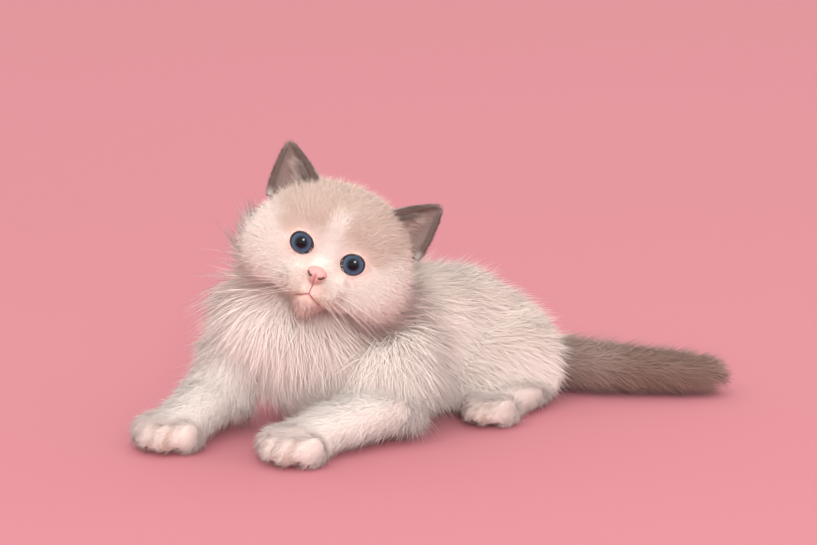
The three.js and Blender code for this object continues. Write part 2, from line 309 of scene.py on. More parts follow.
# %% Join swollen copies and melt them together
SWELL = 0.4 * MM                     # closes the thin gaps between neighbours
copies = []
samples, sample_node = [], []
for index, node in enumerate(flesh_nodes):
    points, normals, faces = mesh_of(node)
    copies.append(new_object("copy_" + node, points + normals * SWELL, faces))
    corners = points[faces]
    for weights in ((1, 0, 0), (0, 1, 0), (0, 0, 1), (0.34, 0.33, 0.33), (0.5, 0.5, 0), (0, 0.5, 0.5)):
        samples.append(np.einsum("k,fkd->fd", weights, corners))
        sample_node.append(np.full(len(faces), index))
for node in ("eye_left", "eye_right"):
    points, normals, faces = mesh_of(node)
    copies.append(new_object("copy_" + node, points + normals * SWELL, faces))
skin = join(copies, "skin")
BODY_VOXEL = 1.5 * MM
apply_modifier(skin, "REMESH", mode="VOXEL", voxel_size=BODY_VOXEL)
apply_modifier(skin, "SMOOTH", factor=0.5, iterations=10)
samples, sample_node = np.concatenate(samples), np.concatenate(sample_node)
print("melted body:", len(skin.data.vertices), "corners")

# %% [markdown]
# Which part of the body a point belongs to decides how deep its coat is and which way the hair
# lies. Each corner of the skin takes the part of the nearest CAD node, and these labels are then
# blurred over the surface, so that one kind of coat passes into the next with no border.

# %% Arrays from a mesh, and blurring over it
def read(collection, field, width, kind=float):
    """A field of every item of a mesh's collection, as rows of this width."""
    values = np.empty(len(collection) * width, dtype=kind)
    collection.foreach_get(field, values)
    return values.reshape(-1, width)


def corners_of(piece):
    return read(piece.data.vertices, "co", 3)


def normals_of(piece):
    return read(piece.data.vertex_normals, "vector", 3)


def edges_of(piece):
    return read(piece.data.edges, "vertices", 2, np.int32)


def set_corners(piece, points):
    piece.data.vertices.foreach_set("co", np.ascontiguousarray(points).ravel())
    piece.data.update()


def blur(values, edges, rounds):
    """Averages corner values with their neighbours' this many times."""
    count = np.bincount(edges.ravel(), minlength=len(values))[:, None].astype(float)
    for _ in range(rounds):
        total = np.empty_like(values)
        for column in range(values.shape[1]):
            ends = values[:, column]
            total[:, column] = (
                np.bincount(edges[:, 0], ends[edges[:, 1]], len(values))
                + np.bincount(edges[:, 1], ends[edges[:, 0]], len(values)))
        values = (values + total) / (count + 1)
    return values


def smooth(low, high, x):
    """0 below low, 1 above high, eased between."""
    t = np.clip((np.asarray(x, float) - low) / (high - low), 0, 1)
    return t * t * (3 - 2 * t)


# %% Label the skin's corners with the nearest part
node_tree = KDTree(len(samples))
for i, point in enumerate(samples):
    node_tree.insert(point, i)
node_tree.balance()


def part_shares(points, edges, rounds):
    """For each point, its share of each flesh node, blurred along the surface."""
    nearest = np.array([sample_node[node_tree.find(p)[1]] for p in points])
    shares = np.zeros((len(points), len(flesh_nodes)))
    shares[np.arange(len(points)), nearest] = 1
    return blur(shares, edges, rounds)


def depth_at(points, shares):
    """Depth of the coat in millimetres: thin on the face, thick in the cheek ruff."""
    depth = shares @ np.array([coat_depth[node] for node in flesh_nodes])
    x, y, z = in_head(points).T
    behind_face = smooth(-8, 16, y)
    ruff = smooth(4, -16, z) * smooth(6, 20, np.abs(x))
    head_depth = 2.0 + behind_face * (2.6 + 4.5 * ruff) + 1.5 * smooth(24, 44, y)
    head_share = shares[:, flesh_nodes.index("head")]
    return depth + head_share * (head_depth - coat_depth["head"])


points, edges = corners_of(skin), edges_of(skin)
shares = part_shares(points, edges, 20)
depth = depth_at(points, shares)
inward = unit(blur(normals_of(skin), edges, 6))
set_corners(skin, points - inward * depth[:, None] * MM)
print("coat depth, mm: least", round(depth.min(), 1), "most", round(depth.max(), 1))

# %% [markdown]
# The remesh rounds away what is small. So the muzzle, the chin and the toes are added again as
# soft balls, melted into the skin by a second, finer remesh.

# %% Small forms of the face, in the head's frame, mm
face_balls = [
    ((5.6, -8.6, -16.6), (6.8, 6.6, 5.8)), ((-5.6, -8.6, -16.6), (6.8, 6.6, 5.8)),   # whisker pads
    ((0, -6.2, -23.6), (6.2, 6.6, 4.6)),                                           # chin
    ((0, -6.4, -8.2), (4.6, 7.2, 6.4)),                                            # nose bridge
]


def soft_ball(name, centre, radii, matrix=None, turn=0.0):
    """A ball stretched to three radii, in metres or in the frame of the matrix."""
    bpy.ops.object.select_all(action="DESELECT")
    bpy.ops.mesh.primitive_uv_sphere_add(segments=28, ring_count=18, radius=1)
    ball = bpy.context.object
    ball.name = name
    place = Matrix.Translation(centre) @ Matrix.Rotation(turn, 4, "Z") @ Matrix.Diagonal((*radii, 1))
    ball.data.transform((matrix or Matrix()) @ place)
    ball.data.update()
    return ball


balls = [soft_ball("form", centre, radii, head_matrix) for centre, radii in face_balls]

# %% Toes
# Four toes fan out at the front of each foot: their radii in mm, then how far across and ahead
# each one lies. Every foot has its own heading on the floor.
FORE_TOES = ((4.5, 7.6, 6.6), ((-11.2, 3.6), (-4.1, 8.8), (4.1, 8.8), (11.2, 3.6)))
HIND_TOES = ((3.6, 8.6, 6.0), ((-8.4, 13), (-2.9, 17.2), (2.9, 17.2), (8.4, 13)))
TOE_GIRTH = 16 * MM                  # the front of a foot that its toes are centred on
toe_rows = {
    "foreleg_left_paw": ((-0.62, -0.78), *FORE_TOES), "foreleg_right_paw": ((-0.50, -0.87), *FORE_TOES),
    "hindleg_left_foot": ((-0.60, -0.80), *HIND_TOES), "hindleg_right_foot": ((-0.90, -0.35), *HIND_TOES),
}
paw_centres = {}
for node, (heading, radii, toes) in toe_rows.items():
    ahead = unit(np.array([*heading, 0.0]))
    side = np.array([ahead[1], -ahead[0], 0.0])
    points, _, _ = mesh_of(node)
    along = points @ ahead
    tip = along.max()
    reach = max(far for _, far in toes) + radii[1] + coat_depth[node] * 0.5
    front = points[along > tip - TOE_GIRTH]
    centre = (front.min(0) + front.max(0)) / 2
    centre = centre + ahead * (tip - reach * MM - centre @ ahead)
    turn = math.atan2(ahead[1], ahead[0]) - math.pi / 2
    paw_centres[node] = (centre, ahead, side)
    for across, far in toes:
        place = centre + (side * across + ahead * far) * MM
        place[2] = (radii[2] + 1.1) * MM
        balls.append(soft_ball("toe", place, np.array(radii) * MM, None, turn))

# %% Melt the forms and the toes into the skin
skin = join([skin] + balls, "skin")
FINE_VOXEL = 1.04 * MM
apply_modifier(skin, "REMESH", mode="VOXEL", voxel_size=FINE_VOXEL)
apply_modifier(skin, "SMOOTH", factor=0.5, iterations=3)
print("skin:", len(skin.data.vertices), "corners,", 2 * len(skin.data.polygons), "triangles")

# %% [markdown]
# ## Eye sockets
# A kitten's lids are thin and close on a round eyeball. So the skin round each eye is drawn onto
# a ball a little larger than the eyeball, and inside the almond of the opening it is sunk out of
# sight. The dark wet rim of the lids is added later as a tube of its own.

# %% Sockets
EYEBALL = 8.2
OPEN_WIDE, OPEN_HIGH = 5.35, 4.85           # half the opening, mm
LID_BALL, SUNK_BALL = 8.45, 6.6
eye_centres = {-1: in_head(eye_r), 1: in_head(eye_l)}
side_name = {-1: "right", 1: "left"}


def almond(side, way):
    """1 on the edge of the eye's opening, less inside it, for directions from its centre."""
    outward, upward = way[..., 0] * side, way[..., 2] - 0.10 * way[..., 0] * side
    flat = np.maximum(np.hypot(outward, upward), 1e-9)
    wide = np.where(outward < 0, OPEN_WIDE * 1.07, OPEN_WIDE)
    edge = 1 / np.hypot(outward / flat / wide, upward / flat / OPEN_HIGH)
    angle = np.arctan2(flat, -way[..., 1])
    return angle / np.arcsin(edge / EYEBALL)


def eye_opening(face, reach):
    """The almond's value at places nearer to an eye than this reach in mm, and 9 elsewhere."""
    opening = np.full(len(face), 9.0)
    for side, centre in eye_centres.items():
        arm = face - centre
        close = np.linalg.norm(arm, axis=1) < reach
        opening[close] = np.minimum(opening[close], almond(side, unit(arm[close])))
    return opening


# %% Draw the skin onto the lids
face = in_head(corners_of(skin))
for side, centre in eye_centres.items():
    arm = face - centre
    reach = np.linalg.norm(arm, axis=1)
    way = unit(arm)
    opening = almond(side, way)
    rested = LID_BALL + (np.maximum(reach, LID_BALL) - LID_BALL) * smooth(1.12, 2.1, opening)
    wanted = np.where(opening < 0.97, SUNK_BALL, np.where(opening < 2.1, rested, reach))
    held = np.maximum(smooth(14, 11, reach), smooth(2.1, 1.5, opening) * smooth(24, 19, reach))
    held = np.maximum(held, smooth(1.4, 1.15, opening) * smooth(34, 30, reach))[:, None]
    face = face + held * (centre + way * wanted[:, None] - face)
set_corners(skin, from_head(face))
print("sockets drawn round", len(eye_centres), "eyes")

# %% [markdown]
# ## Mouth and nose
# The mouth is a shallow groove: one short line down from the nose, and a line to each corner.
# The groove is pressed into the skin, the face round it is eased by local smoothing, and hair keeps
# clear of it.

# %% Mouth line: across and up in the head's frame, mm; a ray finds how far ahead the skin is
half_lip = [(1.2, -20.3), (3.5, -21.8), (6.5, -23.4), (9.5, -24.2), (12.5, -23.9), (15.5, -22.8),
            (18.0, -21.2)]
lip_line = [(-x, z) for x, z in reversed(half_lip)] + [(0, -19.8)] + half_lip
split_line = [(0, -19.8), (0, -18.4), (0, -17.0), (0, -15.2)]


def skin_tree():
    mesh = skin.data
    return BVHTree.FromPolygons([v.co[:] for v in mesh.vertices],
                                [p.vertices[:] for p in mesh.polygons])


def on_face(tree, x, z, start=-60.0):
    """The place on the skin seen from the front at this x and z of the head's frame, mm."""
    origin = Vector(from_head((x, start, z)))
    hit = tree.ray_cast(origin, Vector(head_y))[0]
    return in_head(hit)


def spots_along(tree, line):
    """Places on the skin, half a millimetre apart or so, along a line of (x, z)."""
    spots = []
    for (x0, z0), (x1, z1) in zip(line, line[1:]):
        for t in np.linspace(0, 1, 6):
            spots.append(on_face(tree, x0 + (x1 - x0) * t, z0 + (z1 - z0) * t))
    return np.array(spots)


def gap_to(face, spots, reach):
    """Distance in mm to the nearest of the spots, at places within reach of the mouth."""
    gap = np.full(len(face), 99.0)
    near = np.linalg.norm(face - mouth_spots.mean(0), axis=1) < reach
    gap[near] = np.linalg.norm(face[near, None] - spots[None], axis=2).min(1)
    return gap


# %% Press the groove, then ease the face round it
tree = skin_tree()
lip_spots, split_spots = spots_along(tree, lip_line), spots_along(tree, split_line)
mouth_spots = np.concatenate([lip_spots, split_spots])
GROOVE_DEEP, GROOVE_HALF = 1.3, 1.3
face = in_head(corners_of(skin))
gap = gap_to(face, mouth_spots, 30)
pressed = blur(GROOVE_DEEP * np.exp(-(gap / GROOVE_HALF) ** 2)[:, None], edges_of(skin), 1)[:, 0]
face[:, 1] += pressed
eased = smooth(1.25, 1.7, eye_opening(face, 26)) * smooth(1.6, 3.6, gap) * smooth(22, 12, face[:, 1])
eased = eased * smooth(52, 40, np.linalg.norm(face, axis=1))
eased = blur(eased[:, None], edges_of(skin), 3)
face = face + eased * (blur(face, edges_of(skin), 14) - face)
set_corners(skin, from_head(face))
tree = skin_tree()
print("mouth spots", len(mouth_spots))

# %% [markdown]
# ## Ears
# An ear is a thin cupped leaf. A grid is bent into half a cone that narrows to a round tip, and
# the Solidify modifier gives it its thickness. It is joined to the skin, so the two are one.

# %% Ear leaf
EAR_AT, EAR_LEAN, EAR_TURN, EAR_BACK = (30.5, 27.0, 24.0), 29, 16, 4
EAR_HIGH, EAR_SUNK, EAR_WIDE, EAR_DEEP, EAR_TAPER = 18.6, 12.0, 13.6, 7.6, 0.72
EAR_WRAP = math.radians(98)


def ear_matrix(side):
    turn = (Matrix.Rotation(math.radians(side * EAR_LEAN), 4, "Y")
            @ Matrix.Rotation(math.radians(-EAR_BACK), 4, "X")
            @ Matrix.Rotation(math.radians(side * EAR_TURN), 4, "Z"))
    return Matrix.Translation((side * EAR_AT[0], EAR_AT[1], EAR_AT[2])) @ turn


def ear_point(u, v):
    """A place on the ear's middle surface: u from -1 to 1 across, v from 0 at the root to 1."""
    z = -EAR_SUNK + v * (EAR_HIGH + EAR_SUNK)
    rise = (z + 9.0) / (EAR_HIGH + 9.0)
    narrow = np.maximum(1 - rise, 0.0) ** EAR_TAPER
    bow = 1 + 0.12 * np.sin(np.pi * np.clip(v, 0, 1))
    angle = u * EAR_WRAP
    return np.stack([EAR_WIDE * narrow * bow * np.sin(angle),
                     EAR_DEEP * narrow * np.cos(angle) - 1.5 * v, z], axis=-1)


def make_ear(side):
    bpy.ops.object.select_all(action="DESELECT")
    bpy.ops.mesh.primitive_grid_add(x_subdivisions=24, y_subdivisions=22, size=2)
    leaf = bpy.context.object
    leaf.name = "ear_leaf"
    flat = corners_of(leaf)
    bent = ear_point(flat[:, 0], np.clip((flat[:, 1] + 1) / 2, 0, 0.995))
    set_corners(leaf, bent)
    apply_modifier(leaf, "SOLIDIFY", thickness=1.1, offset=0.0, use_even_offset=False)
    apply_modifier(leaf, "SUBSURF", levels=1, render_levels=1)
    leaf.data.transform(head_matrix @ ear_matrix(side))
    in_edit_mode(leaf, (bpy.ops.mesh.remove_doubles, {"threshold": 0.00002}), FACES_OUT)
    leaf.data.shade_smooth()
    return leaf


ears = [make_ear(side) for side in (-1, 1)]
print("ears:", [len(e.data.vertices) for e in ears], "corners")

# %% [markdown]
# ## Markings
# A bicolour ragdoll is cream-white below and on the face, warm beige over the forehead and back,
# and taupe on its ears and tail. Each marking is a share from 0 to 1, worked out from the part of
# the body and the place on the head. The skin and every lock of hair use the same function, so
# the markings run through the coat to its root.

# %% Spots and ripples
def spot(face, centre, radius, softness=0.6):
    """1 at a place on the head, falling to 0 past the radius, in mm."""
    gap = np.linalg.norm((face - np.array(centre)) / np.array(radius), axis=-1)
    return 1 - smooth(1 - softness, 1 + softness, gap)


def ripple(points, scale, seed):
    """Smooth waves from -1 to 1, for edges and tones that are never quite even."""
    shifts = np.random.default_rng(seed).uniform(0, 6.28, (4, 3))
    ways = unit(np.random.default_rng(seed + 1).normal(size=(4, 3)))
    total = np.zeros(len(points))
    for way, shift in zip(ways, shifts):
        phase = points @ way / scale
        total += np.sin(phase + shift[0] + 0.7 * np.sin(points @ np.roll(way, 1) / scale * 1.7 + shift[1]))
    return total / 4


# %% [markdown]
# Most marks of the face are soft spots: tan at the outer corners of the eyes and beside the nose, tan round
# the mouth, which along the mouth's groove and at its corners is painted shade, painted shade in taupe at the
# ears' roots, pink at the nose. They are kept as one table. Each whisker grows from a small tan dot, and the
# creases between the toes are darkened by painted shade in tan.

# %% Marks on the head: kind, share, place and size in mm; a place off the middle is on both sides
face_marks = [
    ("beige", 0.40, (19, -4, 14), (12, 12, 9)), ("beige", 0.45, (0, -13, -20), (13, 9, 9)),
    ("tan", 0.42, (20.5, -1, 4.5), (5.5, 6, 3.2)), ("tan", 0.45, (6.8, -8, -4.5), (2.2, 5, 4.6)),
    # The first tan mark on the next line, at the mouth's corners, is painted shade of the mouth's crease.
    ("tan", 0.75, (15.0, -3, -23.5), (4.0, 6, 2.0)), ("tan", 0.40, (0, 0, -27), (10, 10, 5)),
    # The taupe spots on this line and the next, at the ears' roots, are painted shade.
    ("taupe", 0.40, (38, 22, 19), (9, 7, 5.5)), ("taupe", 0.55, (27, 20, 29), (7, 8, 4.0)),
    ("taupe", 0.20, (43.5, 17, 7), (5, 5, 5)), ("pink", 0.9, (0, -15, -11), (6.2, 6, 6.5)),
    ("pink", 0.5, (0, -12, -20), (3.0, 6, 3.0)), ("pink", 0.20, (0, -8, -25), (8, 8, 5)),
]
whisker_rows = [(side * (5.6 + 2.5 * k), -13.6 - 2.3 * row + 0.15 * k)
                for side in (-1, 1) for row in range(4) for k in range(4 if row in (1, 2) else 3)]


# %% The function that marks the whole body
def share_of(shares, *names):
    return sum(shares[:, flesh_nodes.index(name)] for name in names)


def markings(points, shares, normals):
    """Shares of beige, taupe, tan and pink at these points of the body."""
    face = in_head(points)
    x, y, z = face.T
    wave = ripple(points / MM, 7.0, 5)
    head, trunk = share_of(shares, "head"), share_of(shares, "trunk", "neck")
    tail = share_of(shares, "tail_root", "tail_middle", "tail_tip")
    top = smooth(0.0, 0.85, normals[:, 2])
    crown = smooth(3, 19, z + 1.5 * wave) * smooth(46, 26, np.abs(x) + 2 * wave)
    blaze = smooth(5.5 + 0.05 * z, 2.0, np.abs(x + 0.5) + 0.8 * wave) * smooth(24, 13, z) * smooth(16, 4, y)
    beige = head * np.clip(0.40 + 0.58 * crown * (1 - 0.9 * blaze) - 0.2 * blaze, 0, 1)
    beige = beige + trunk * (0.06 + 0.46 * top) * smooth(-10, 26, y + 10 * wave + 40 * (1 - head))
    beige = beige + 0.6 * share_of(shares, "hindleg_left_thigh", "hindleg_right_thigh") * top
    beige = beige + 0.25 * share_of(shares, "foreleg_left_upper", "foreleg_right_upper") * top
    taupe = smooth(0.30, 0.75, tail + 0.08 * wave) * (1 - 0.1 * share_of(shares, "tail_root"))
    found = {"beige": beige, "taupe": taupe, "tan": 0.25 * spot(face, (-4.5, 0, 21), (5, 8, 4)), "pink": 0}
    for kind, share, place, size in face_marks:
        for side in (-1, 1) if place[0] else (1,):
            found[kind] = found[kind] + share * spot(face, (side * place[0], *place[1:]), size)
    # Painted shade in tan along the groove of the mouth.
    found["tan"] = found["tan"] + 0.65 * np.exp(-(gap_to(face, lip_spots, 24) / 1.5) ** 2)
    for x_dot, z_dot in whisker_rows:
        found["tan"] = found["tan"] + 0.75 * spot(face, (x_dot, -13, z_dot), (0.62, 9, 0.55))
    for centre in eye_centres.values():
        below = centre + np.array([0, -7, -1])
        found["pink"] = found["pink"] + 0.35 * spot(face, below, (8.5, 8, 8.0), 0.25)
    for node, (_, _, toes) in toe_rows.items():
        foot = share_of(shares, node)
        found["pink"] = found["pink"] + 0.22 * foot
        centre, ahead, side = paw_centres[node]
        across, far = (points - centre) @ side / MM, (points - centre) @ ahead / MM
        # Painted shade in tan along the creases between the toes.
        for (left, left_far), (right, right_far) in zip(toes, toes[1:]):
            start = (left_far + right_far) / 2
            crease_shade = np.exp(-((across - (left + right) / 2) / 0.9) ** 2) * smooth(start - 3, start + 2, far)
            found["tan"] = found["tan"] + 0.75 * crease_shade * foot
    return {kind: np.clip(values, 0, 1) for kind, values in found.items()}


# %% [markdown]
# ## Which way the hair lies
# Hair leaves the nose in all directions, runs back over the head, down the chest, back and down
# along the trunk, toward the toes and along the tail, where it fans out at the tip. Each part has
# its own direction; the blurred shares mix them, and the mix is laid flat on the skin.

# %% Ways of the hair
spine = unit(middle("tail_root") - middle("neck")) * np.array([1, 1, 0])
tail_way = unit(middle("tail_tip") - middle("tail_root"))
DOWN = np.array([0, 0, -1.0])
FAN = 30 * MM                        # the smaller, the more the hair fans out at the tail's tip


def part_way(node, points):
    """The raw direction of the hair on one part, before it is laid flat."""
    if node == "head":
        away = in_head(points) - np.array([0, -15.0, -9.0])
        return unit(unit(away) @ head_axes + 0.15 * DOWN)
    if node == "neck":
        outward = unit(points - from_head((0, 22, 0)))
        return unit(0.75 * DOWN + 0.5 * outward + 0.30 * spine)
    if node == "trunk":
        return unit(0.9 * spine + 0.65 * DOWN) + np.zeros_like(points)
    if node == "tail_tip":
        outward = (points - middle("tail_tip")) / FAN
        return unit(0.75 * tail_way + 0.9 * outward)
    if node.startswith("tail"):
        return tail_way + np.zeros_like(points)
    if node in toe_rows:
        return unit(paw_centres[node][1] + 0.1 * DOWN) + np.zeros_like(points)
    if node.endswith("forearm"):
        return unit(middle(node.replace("forearm", "paw")) - middle(node)) + np.zeros_like(points)
    if node.endswith("upper"):
        to_arm = unit(middle(node.replace("upper", "forearm")) - middle(node))
        return unit(to_arm + 0.3 * spine + 0.5 * DOWN) + np.zeros_like(points)
    return unit(0.6 * spine + 0.75 * DOWN) + np.zeros_like(points)


def laid_flat(ways, normals):
    return unit(ways - normals * np.sum(ways * normals, axis=1, keepdims=True))


# %% The coat's fields on every corner of the skin
points, edges, normals = corners_of(skin), edges_of(skin), normals_of(skin)
shares = part_shares(points, edges, 22)
soft_normals = unit(blur(normals, edges, 4))
ways = sum(shares[:, [i]] * part_way(node, points) for i, node in enumerate(flesh_nodes))
ways = laid_flat(unit(blur(laid_flat(unit(ways), soft_normals), edges, 6)), soft_normals)
depth = depth_at(points, shares)
lie = shares @ np.array([coat_lie[node] for node in flesh_nodes])
marks = markings(points, shares, soft_normals)
print("shares of taupe and beige skin:", marks["taupe"].mean().round(2), marks["beige"].mean().round(2))

# %% [markdown]
# ## Coat colours
# One material serves the skin and every lock. It reads the markings from attributes and mixes the coat's
# colours by them. Each lock is made a little darker toward its root and each differs a little, so two more
# attributes carry the place along the lock and a tone of its own.

# %% Coat colours, as seen on a screen
COLOURS = {
    "cream": (0.985, 0.955, 0.93), "beige": (0.80, 0.705, 0.65), "tan": (0.72, 0.58, 0.47),
    "pink": (0.93, 0.735, 0.70), "taupe": (0.50, 0.365, 0.305), "inside": (0.66, 0.50, 0.46),
    "dark": (0.27, 0.205, 0.19),
}


def linear(colour):
    return tuple(c / 12.92 if c <= 0.04045 else ((c + 0.055) / 1.055) ** 2.4 for c in colour)


# %% Helpers that add shader nodes
def add_node(material, kind, **inputs):
    node = material.node_tree.nodes.new(kind)
    for key, value in inputs.items():
        node.inputs[key.replace("_", " ")].default_value = value
    return node


def attribute(material, name):
    node = material.node_tree.nodes.new("ShaderNodeAttribute")
    node.attribute_name = name
    return node.outputs["Fac"]


def mix(material, share, below, above, blend="MIX"):
    """A colour mix: below where the share is 0, above where it is 1."""
    node = material.node_tree.nodes.new("ShaderNodeMix")
    node.data_type = "RGBA"
    node.blend_type = blend
    links = material.node_tree.links
    for socket, value in ((node.inputs[0], share), (node.inputs[6], below), (node.inputs[7], above)):
        if hasattr(value, "is_linked"):
            links.new(value, socket)
        elif isinstance(value, tuple):
            socket.default_value = (*value, 1)
        else:
            socket.default_value = value
    return node.outputs[2]


def noise(material, scale, detail=2.0):
    """Noise on the piece's own Object coordinates; the scale is per metre."""
    place = material.node_tree.nodes.new("ShaderNodeTexCoord")
    node = add_node(material, "ShaderNodeTexNoise", Scale=scale, Detail=detail)
    material.node_tree.links.new(place.outputs["Object"], node.inputs["Vector"])
    return node.outputs["Fac"]


def math_node(material, operation, *values):
    node = material.node_tree.nodes.new("ShaderNodeMath")
    node.operation = operation
    for socket, value in zip(node.inputs, values):
        if hasattr(value, "is_linked"):
            material.node_tree.links.new(value, socket)
        else:
            socket.default_value = value
    return node.outputs[0]


# %% Helpers for small ridges and for two tones
def roughen(material, heights, strength, distance):
    """Small ridges, as a bump on the material's shader."""
    ridges = add_node(material, "ShaderNodeBump", Strength=strength, Distance=distance)
    material.node_tree.links.new(heights, ridges.inputs["Height"])
    shader = material.node_tree.nodes["Principled BSDF"]
    material.node_tree.links.new(ridges.outputs["Normal"], shader.inputs["Normal"])


def two_toned(name, scale, first, second, roughness):
    """A plain material whose colour wanders between two tones, per metre of Object coordinates."""
    material = plain_material(name, first, roughness)
    shader = material.node_tree.nodes["Principled BSDF"]
    tone = mix(material, noise(material, scale), first, second)
    material.node_tree.links.new(tone, shader.inputs["Base Color"])
    return material


# %% [markdown]
# The marks are laid over the cream one after another, the dark one last. Then come broad patches
# of tone, the lock's own tone, and the slightly darker root. A little sheen stands for the light
# that fine hair scatters at its edge.

# %% The coat's material
def coat_material(name, bump=0.0):
    material = plain_material(name, linear(COLOURS["cream"]), 0.82)
    shader = material.node_tree.nodes["Principled BSDF"]
    shader.inputs["Specular IOR Level"].default_value = 0.22
    shader.inputs["Sheen Weight"].default_value = 0.18
    shader.inputs["Sheen Roughness"].default_value = 0.45
    shader.inputs["Sheen Tint"].default_value = (1.0, 0.95, 0.92, 1)
    colour = linear(COLOURS["cream"])
    for mark in list(COLOURS)[1:]:
        colour = mix(material, attribute(material, mark), colour, linear(COLOURS[mark]))
    patchy = math_node(material, "MULTIPLY_ADD", noise(material, 90), 0.16, -0.08)
    shade = math_node(material, "ADD", attribute(material, "tone"), patchy)
    colour = mix(material, shade, mix(material, 1.0, colour, (0.92, 0.885, 0.86), "MULTIPLY"),
                 mix(material, 0.12, colour, (1.0, 0.97, 0.93)))
    root = mix(material, 1.0, colour, (0.985, 0.96, 0.945), "MULTIPLY")
    colour = mix(material, attribute(material, "tip"), root, colour)
    material.node_tree.links.new(colour, shader.inputs["Base Color"])
    if bump:
        roughen(material, noise(material, 1500, 3.0), bump, 0.0006)
    return material


coat = coat_material("coat_hair")
under_coat = coat_material("coat_skin", bump=0.5)

# %% Paint the marks on the skin
MARK_NAMES = (*list(COLOURS)[1:], "tone", "tip")


def paint(piece, marks, tone=0.7, tip=0.6):
    """Stores the marking shares on a piece's corners; what isn't given is 0."""
    count = len(piece.data.vertices)
    for name in MARK_NAMES:
        values = marks.get(name, {"tone": tone, "tip": tip}.get(name, 0.0))
        layer = piece.data.attributes.new(name, "FLOAT", "POINT")
        layer.data.foreach_set("value", np.broadcast_to(values, count).astype(np.float32))


paint(skin, marks)
skin.data.materials.clear()
skin.data.materials.append(under_coat)

# %% [markdown]
# ## A lock of hair
# A lock is a thin three-sided spindle: a point in the skin, a ring where it bends, and a point at
# its tip. It leaves the skin steeply and bends over, as hair does under its own weight.
# Neighbouring locks lean toward a common tip, which makes the soft clumps of a long coat. All
# locks of one part of the body are built at once as arrays and become one mesh, because more
# than a hundred thousand operators would take hours.

# %% Clumps and curls
def clumped(roots, tips, strength, per_clump, rng):
    """Pulls tips toward the tip of the clump's own middle lock."""
    seeds = rng.choice(len(roots), max(len(roots) // per_clump, 1), replace=False)
    tree = KDTree(len(seeds))
    for i, seed in enumerate(seeds):
        tree.insert(roots[seed], i)
    tree.balance()
    own = seeds[np.array([tree.find(root)[1] for root in roots])]
    return own, strength[:, None] * (tips[own] - tips)


CURL_AT = (middle("foreleg_left_upper") + middle("foreleg_right_upper")) / 2 + np.array([0, -0.012, -0.012])
CURL_SIZE = np.array([0.026, 0.030, 0.024])


# %% The shape of every lock
def lock_arrays(roots, normals, ways, lengths, lifts, widths, clumping, rng, per_clump=7, stray=0.14,
                droop=0.05, flick=0.38):
    """Centres of the three stations of every lock, and their half-widths."""
    count = len(roots)
    sideways = np.cross(normals, ways)
    wave = ripple(roots / MM, 13.0, 11) * 0.20 + ripple(roots / MM, 5.0, 17) * 0.06
    curl = np.exp(-np.sum(((roots - CURL_AT) / CURL_SIZE) ** 2, axis=1))
    wave = wave + 1.5 * curl * ripple(roots / MM, 4.2, 31)
    clumping = clumping + 0.35 * curl
    turn = (wave + rng.normal(0, flick, count))[:, None]
    ways = unit(ways * np.cos(turn) + sideways * np.sin(turn))
    wild = rng.random(count) < stray
    lengths = lengths * rng.uniform(0.72, 1.08, count) * np.where(wild, 1.18, 1.0)
    start = np.radians(lifts[0] * rng.uniform(0.75, 1.2, count) + np.where(wild, 12, 0))
    end = np.radians(lifts[1] * rng.uniform(0.5, 1.4, count) + np.where(wild, 16, 0))
    half = lengths[:, None] * MM / 2
    bend = roots + 0.9 * half * (normals * np.sin(start)[:, None] + ways * np.cos(start)[:, None])
    tips = bend + 1.1 * half * (normals * np.sin(end)[:, None] + ways * np.cos(end)[:, None])
    tips[:, 2] -= droop * lengths * MM
    own, pull = clumped(roots, tips, clumping * rng.uniform(0.6, 1.3, count), per_clump, rng)
    tips = tips + pull
    bend = bend + 0.30 * pull
    floor_gap = rng.uniform(0.25, 1.1, count) * MM
    bend[:, 2] = np.maximum(bend[:, 2], floor_gap)
    tips[:, 2] = np.maximum(tips[:, 2], floor_gap * 0.8)
    base = roots - normals * 0.35 * MM
    return base, bend, tips, widths * rng.uniform(0.75, 1.2, count) * MM / 2, own


# %% [markdown]
# A lock has five corners: its base, three round the bend, and its tip. Six triangles join them. On
# the OFBake map every lock has a small patch of its own at its root's place. Its normals lean
# toward the skin's, so that the coat is lit as one soft surface and not as many hard spikes.

# %% Corners, triangles and map of one lock
TUFT_PATCH = 0.003                 # width of a lock's patch on the OFBake map
SIDES = 3
CORNERS = SIDES + 2
LOCK_FACES, LOCK_U, LOCK_V = [], [], []
for j in range(SIDES):
    k = (j + 1) % SIDES
    LOCK_FACES += [(0, 1 + k, 1 + j), (1 + j, 1 + k, SIDES + 1)]
    LOCK_U += [(j + 0.5, j + 1, j), (j, j + 1, j + 0.5)]
    LOCK_V += [(0, 1, 1), (1, 1, 2)]
PATCH_PLACES = TUFT_PATCH * np.stack([np.array(LOCK_U) / SIDES - 0.5, np.array(LOCK_V) / 2 - 0.5], axis=-1)


def lock_object(name, corners):
    """A mesh object of locks from an array of their corners, quick even for many thousands."""
    faces = (np.arange(len(corners))[:, None, None] * CORNERS + np.array(LOCK_FACES)[None]).reshape(-1, 3)
    mesh = bpy.data.meshes.new(name)
    mesh.vertices.add(len(corners) * CORNERS)
    mesh.vertices.foreach_set("co", corners.ravel().astype(np.float32))
    mesh.loops.add(faces.size)
    mesh.loops.foreach_set("vertex_index", faces.ravel().astype(np.int32))
    mesh.polygons.add(len(faces))
    mesh.polygons.foreach_set("loop_start", np.arange(0, faces.size, 3, dtype=np.int32))
    mesh.update(calc_edges=True)
    mesh.shade_smooth()
    piece = bpy.data.objects.new(name, mesh)
    bpy.context.collection.objects.link(piece)
    return piece


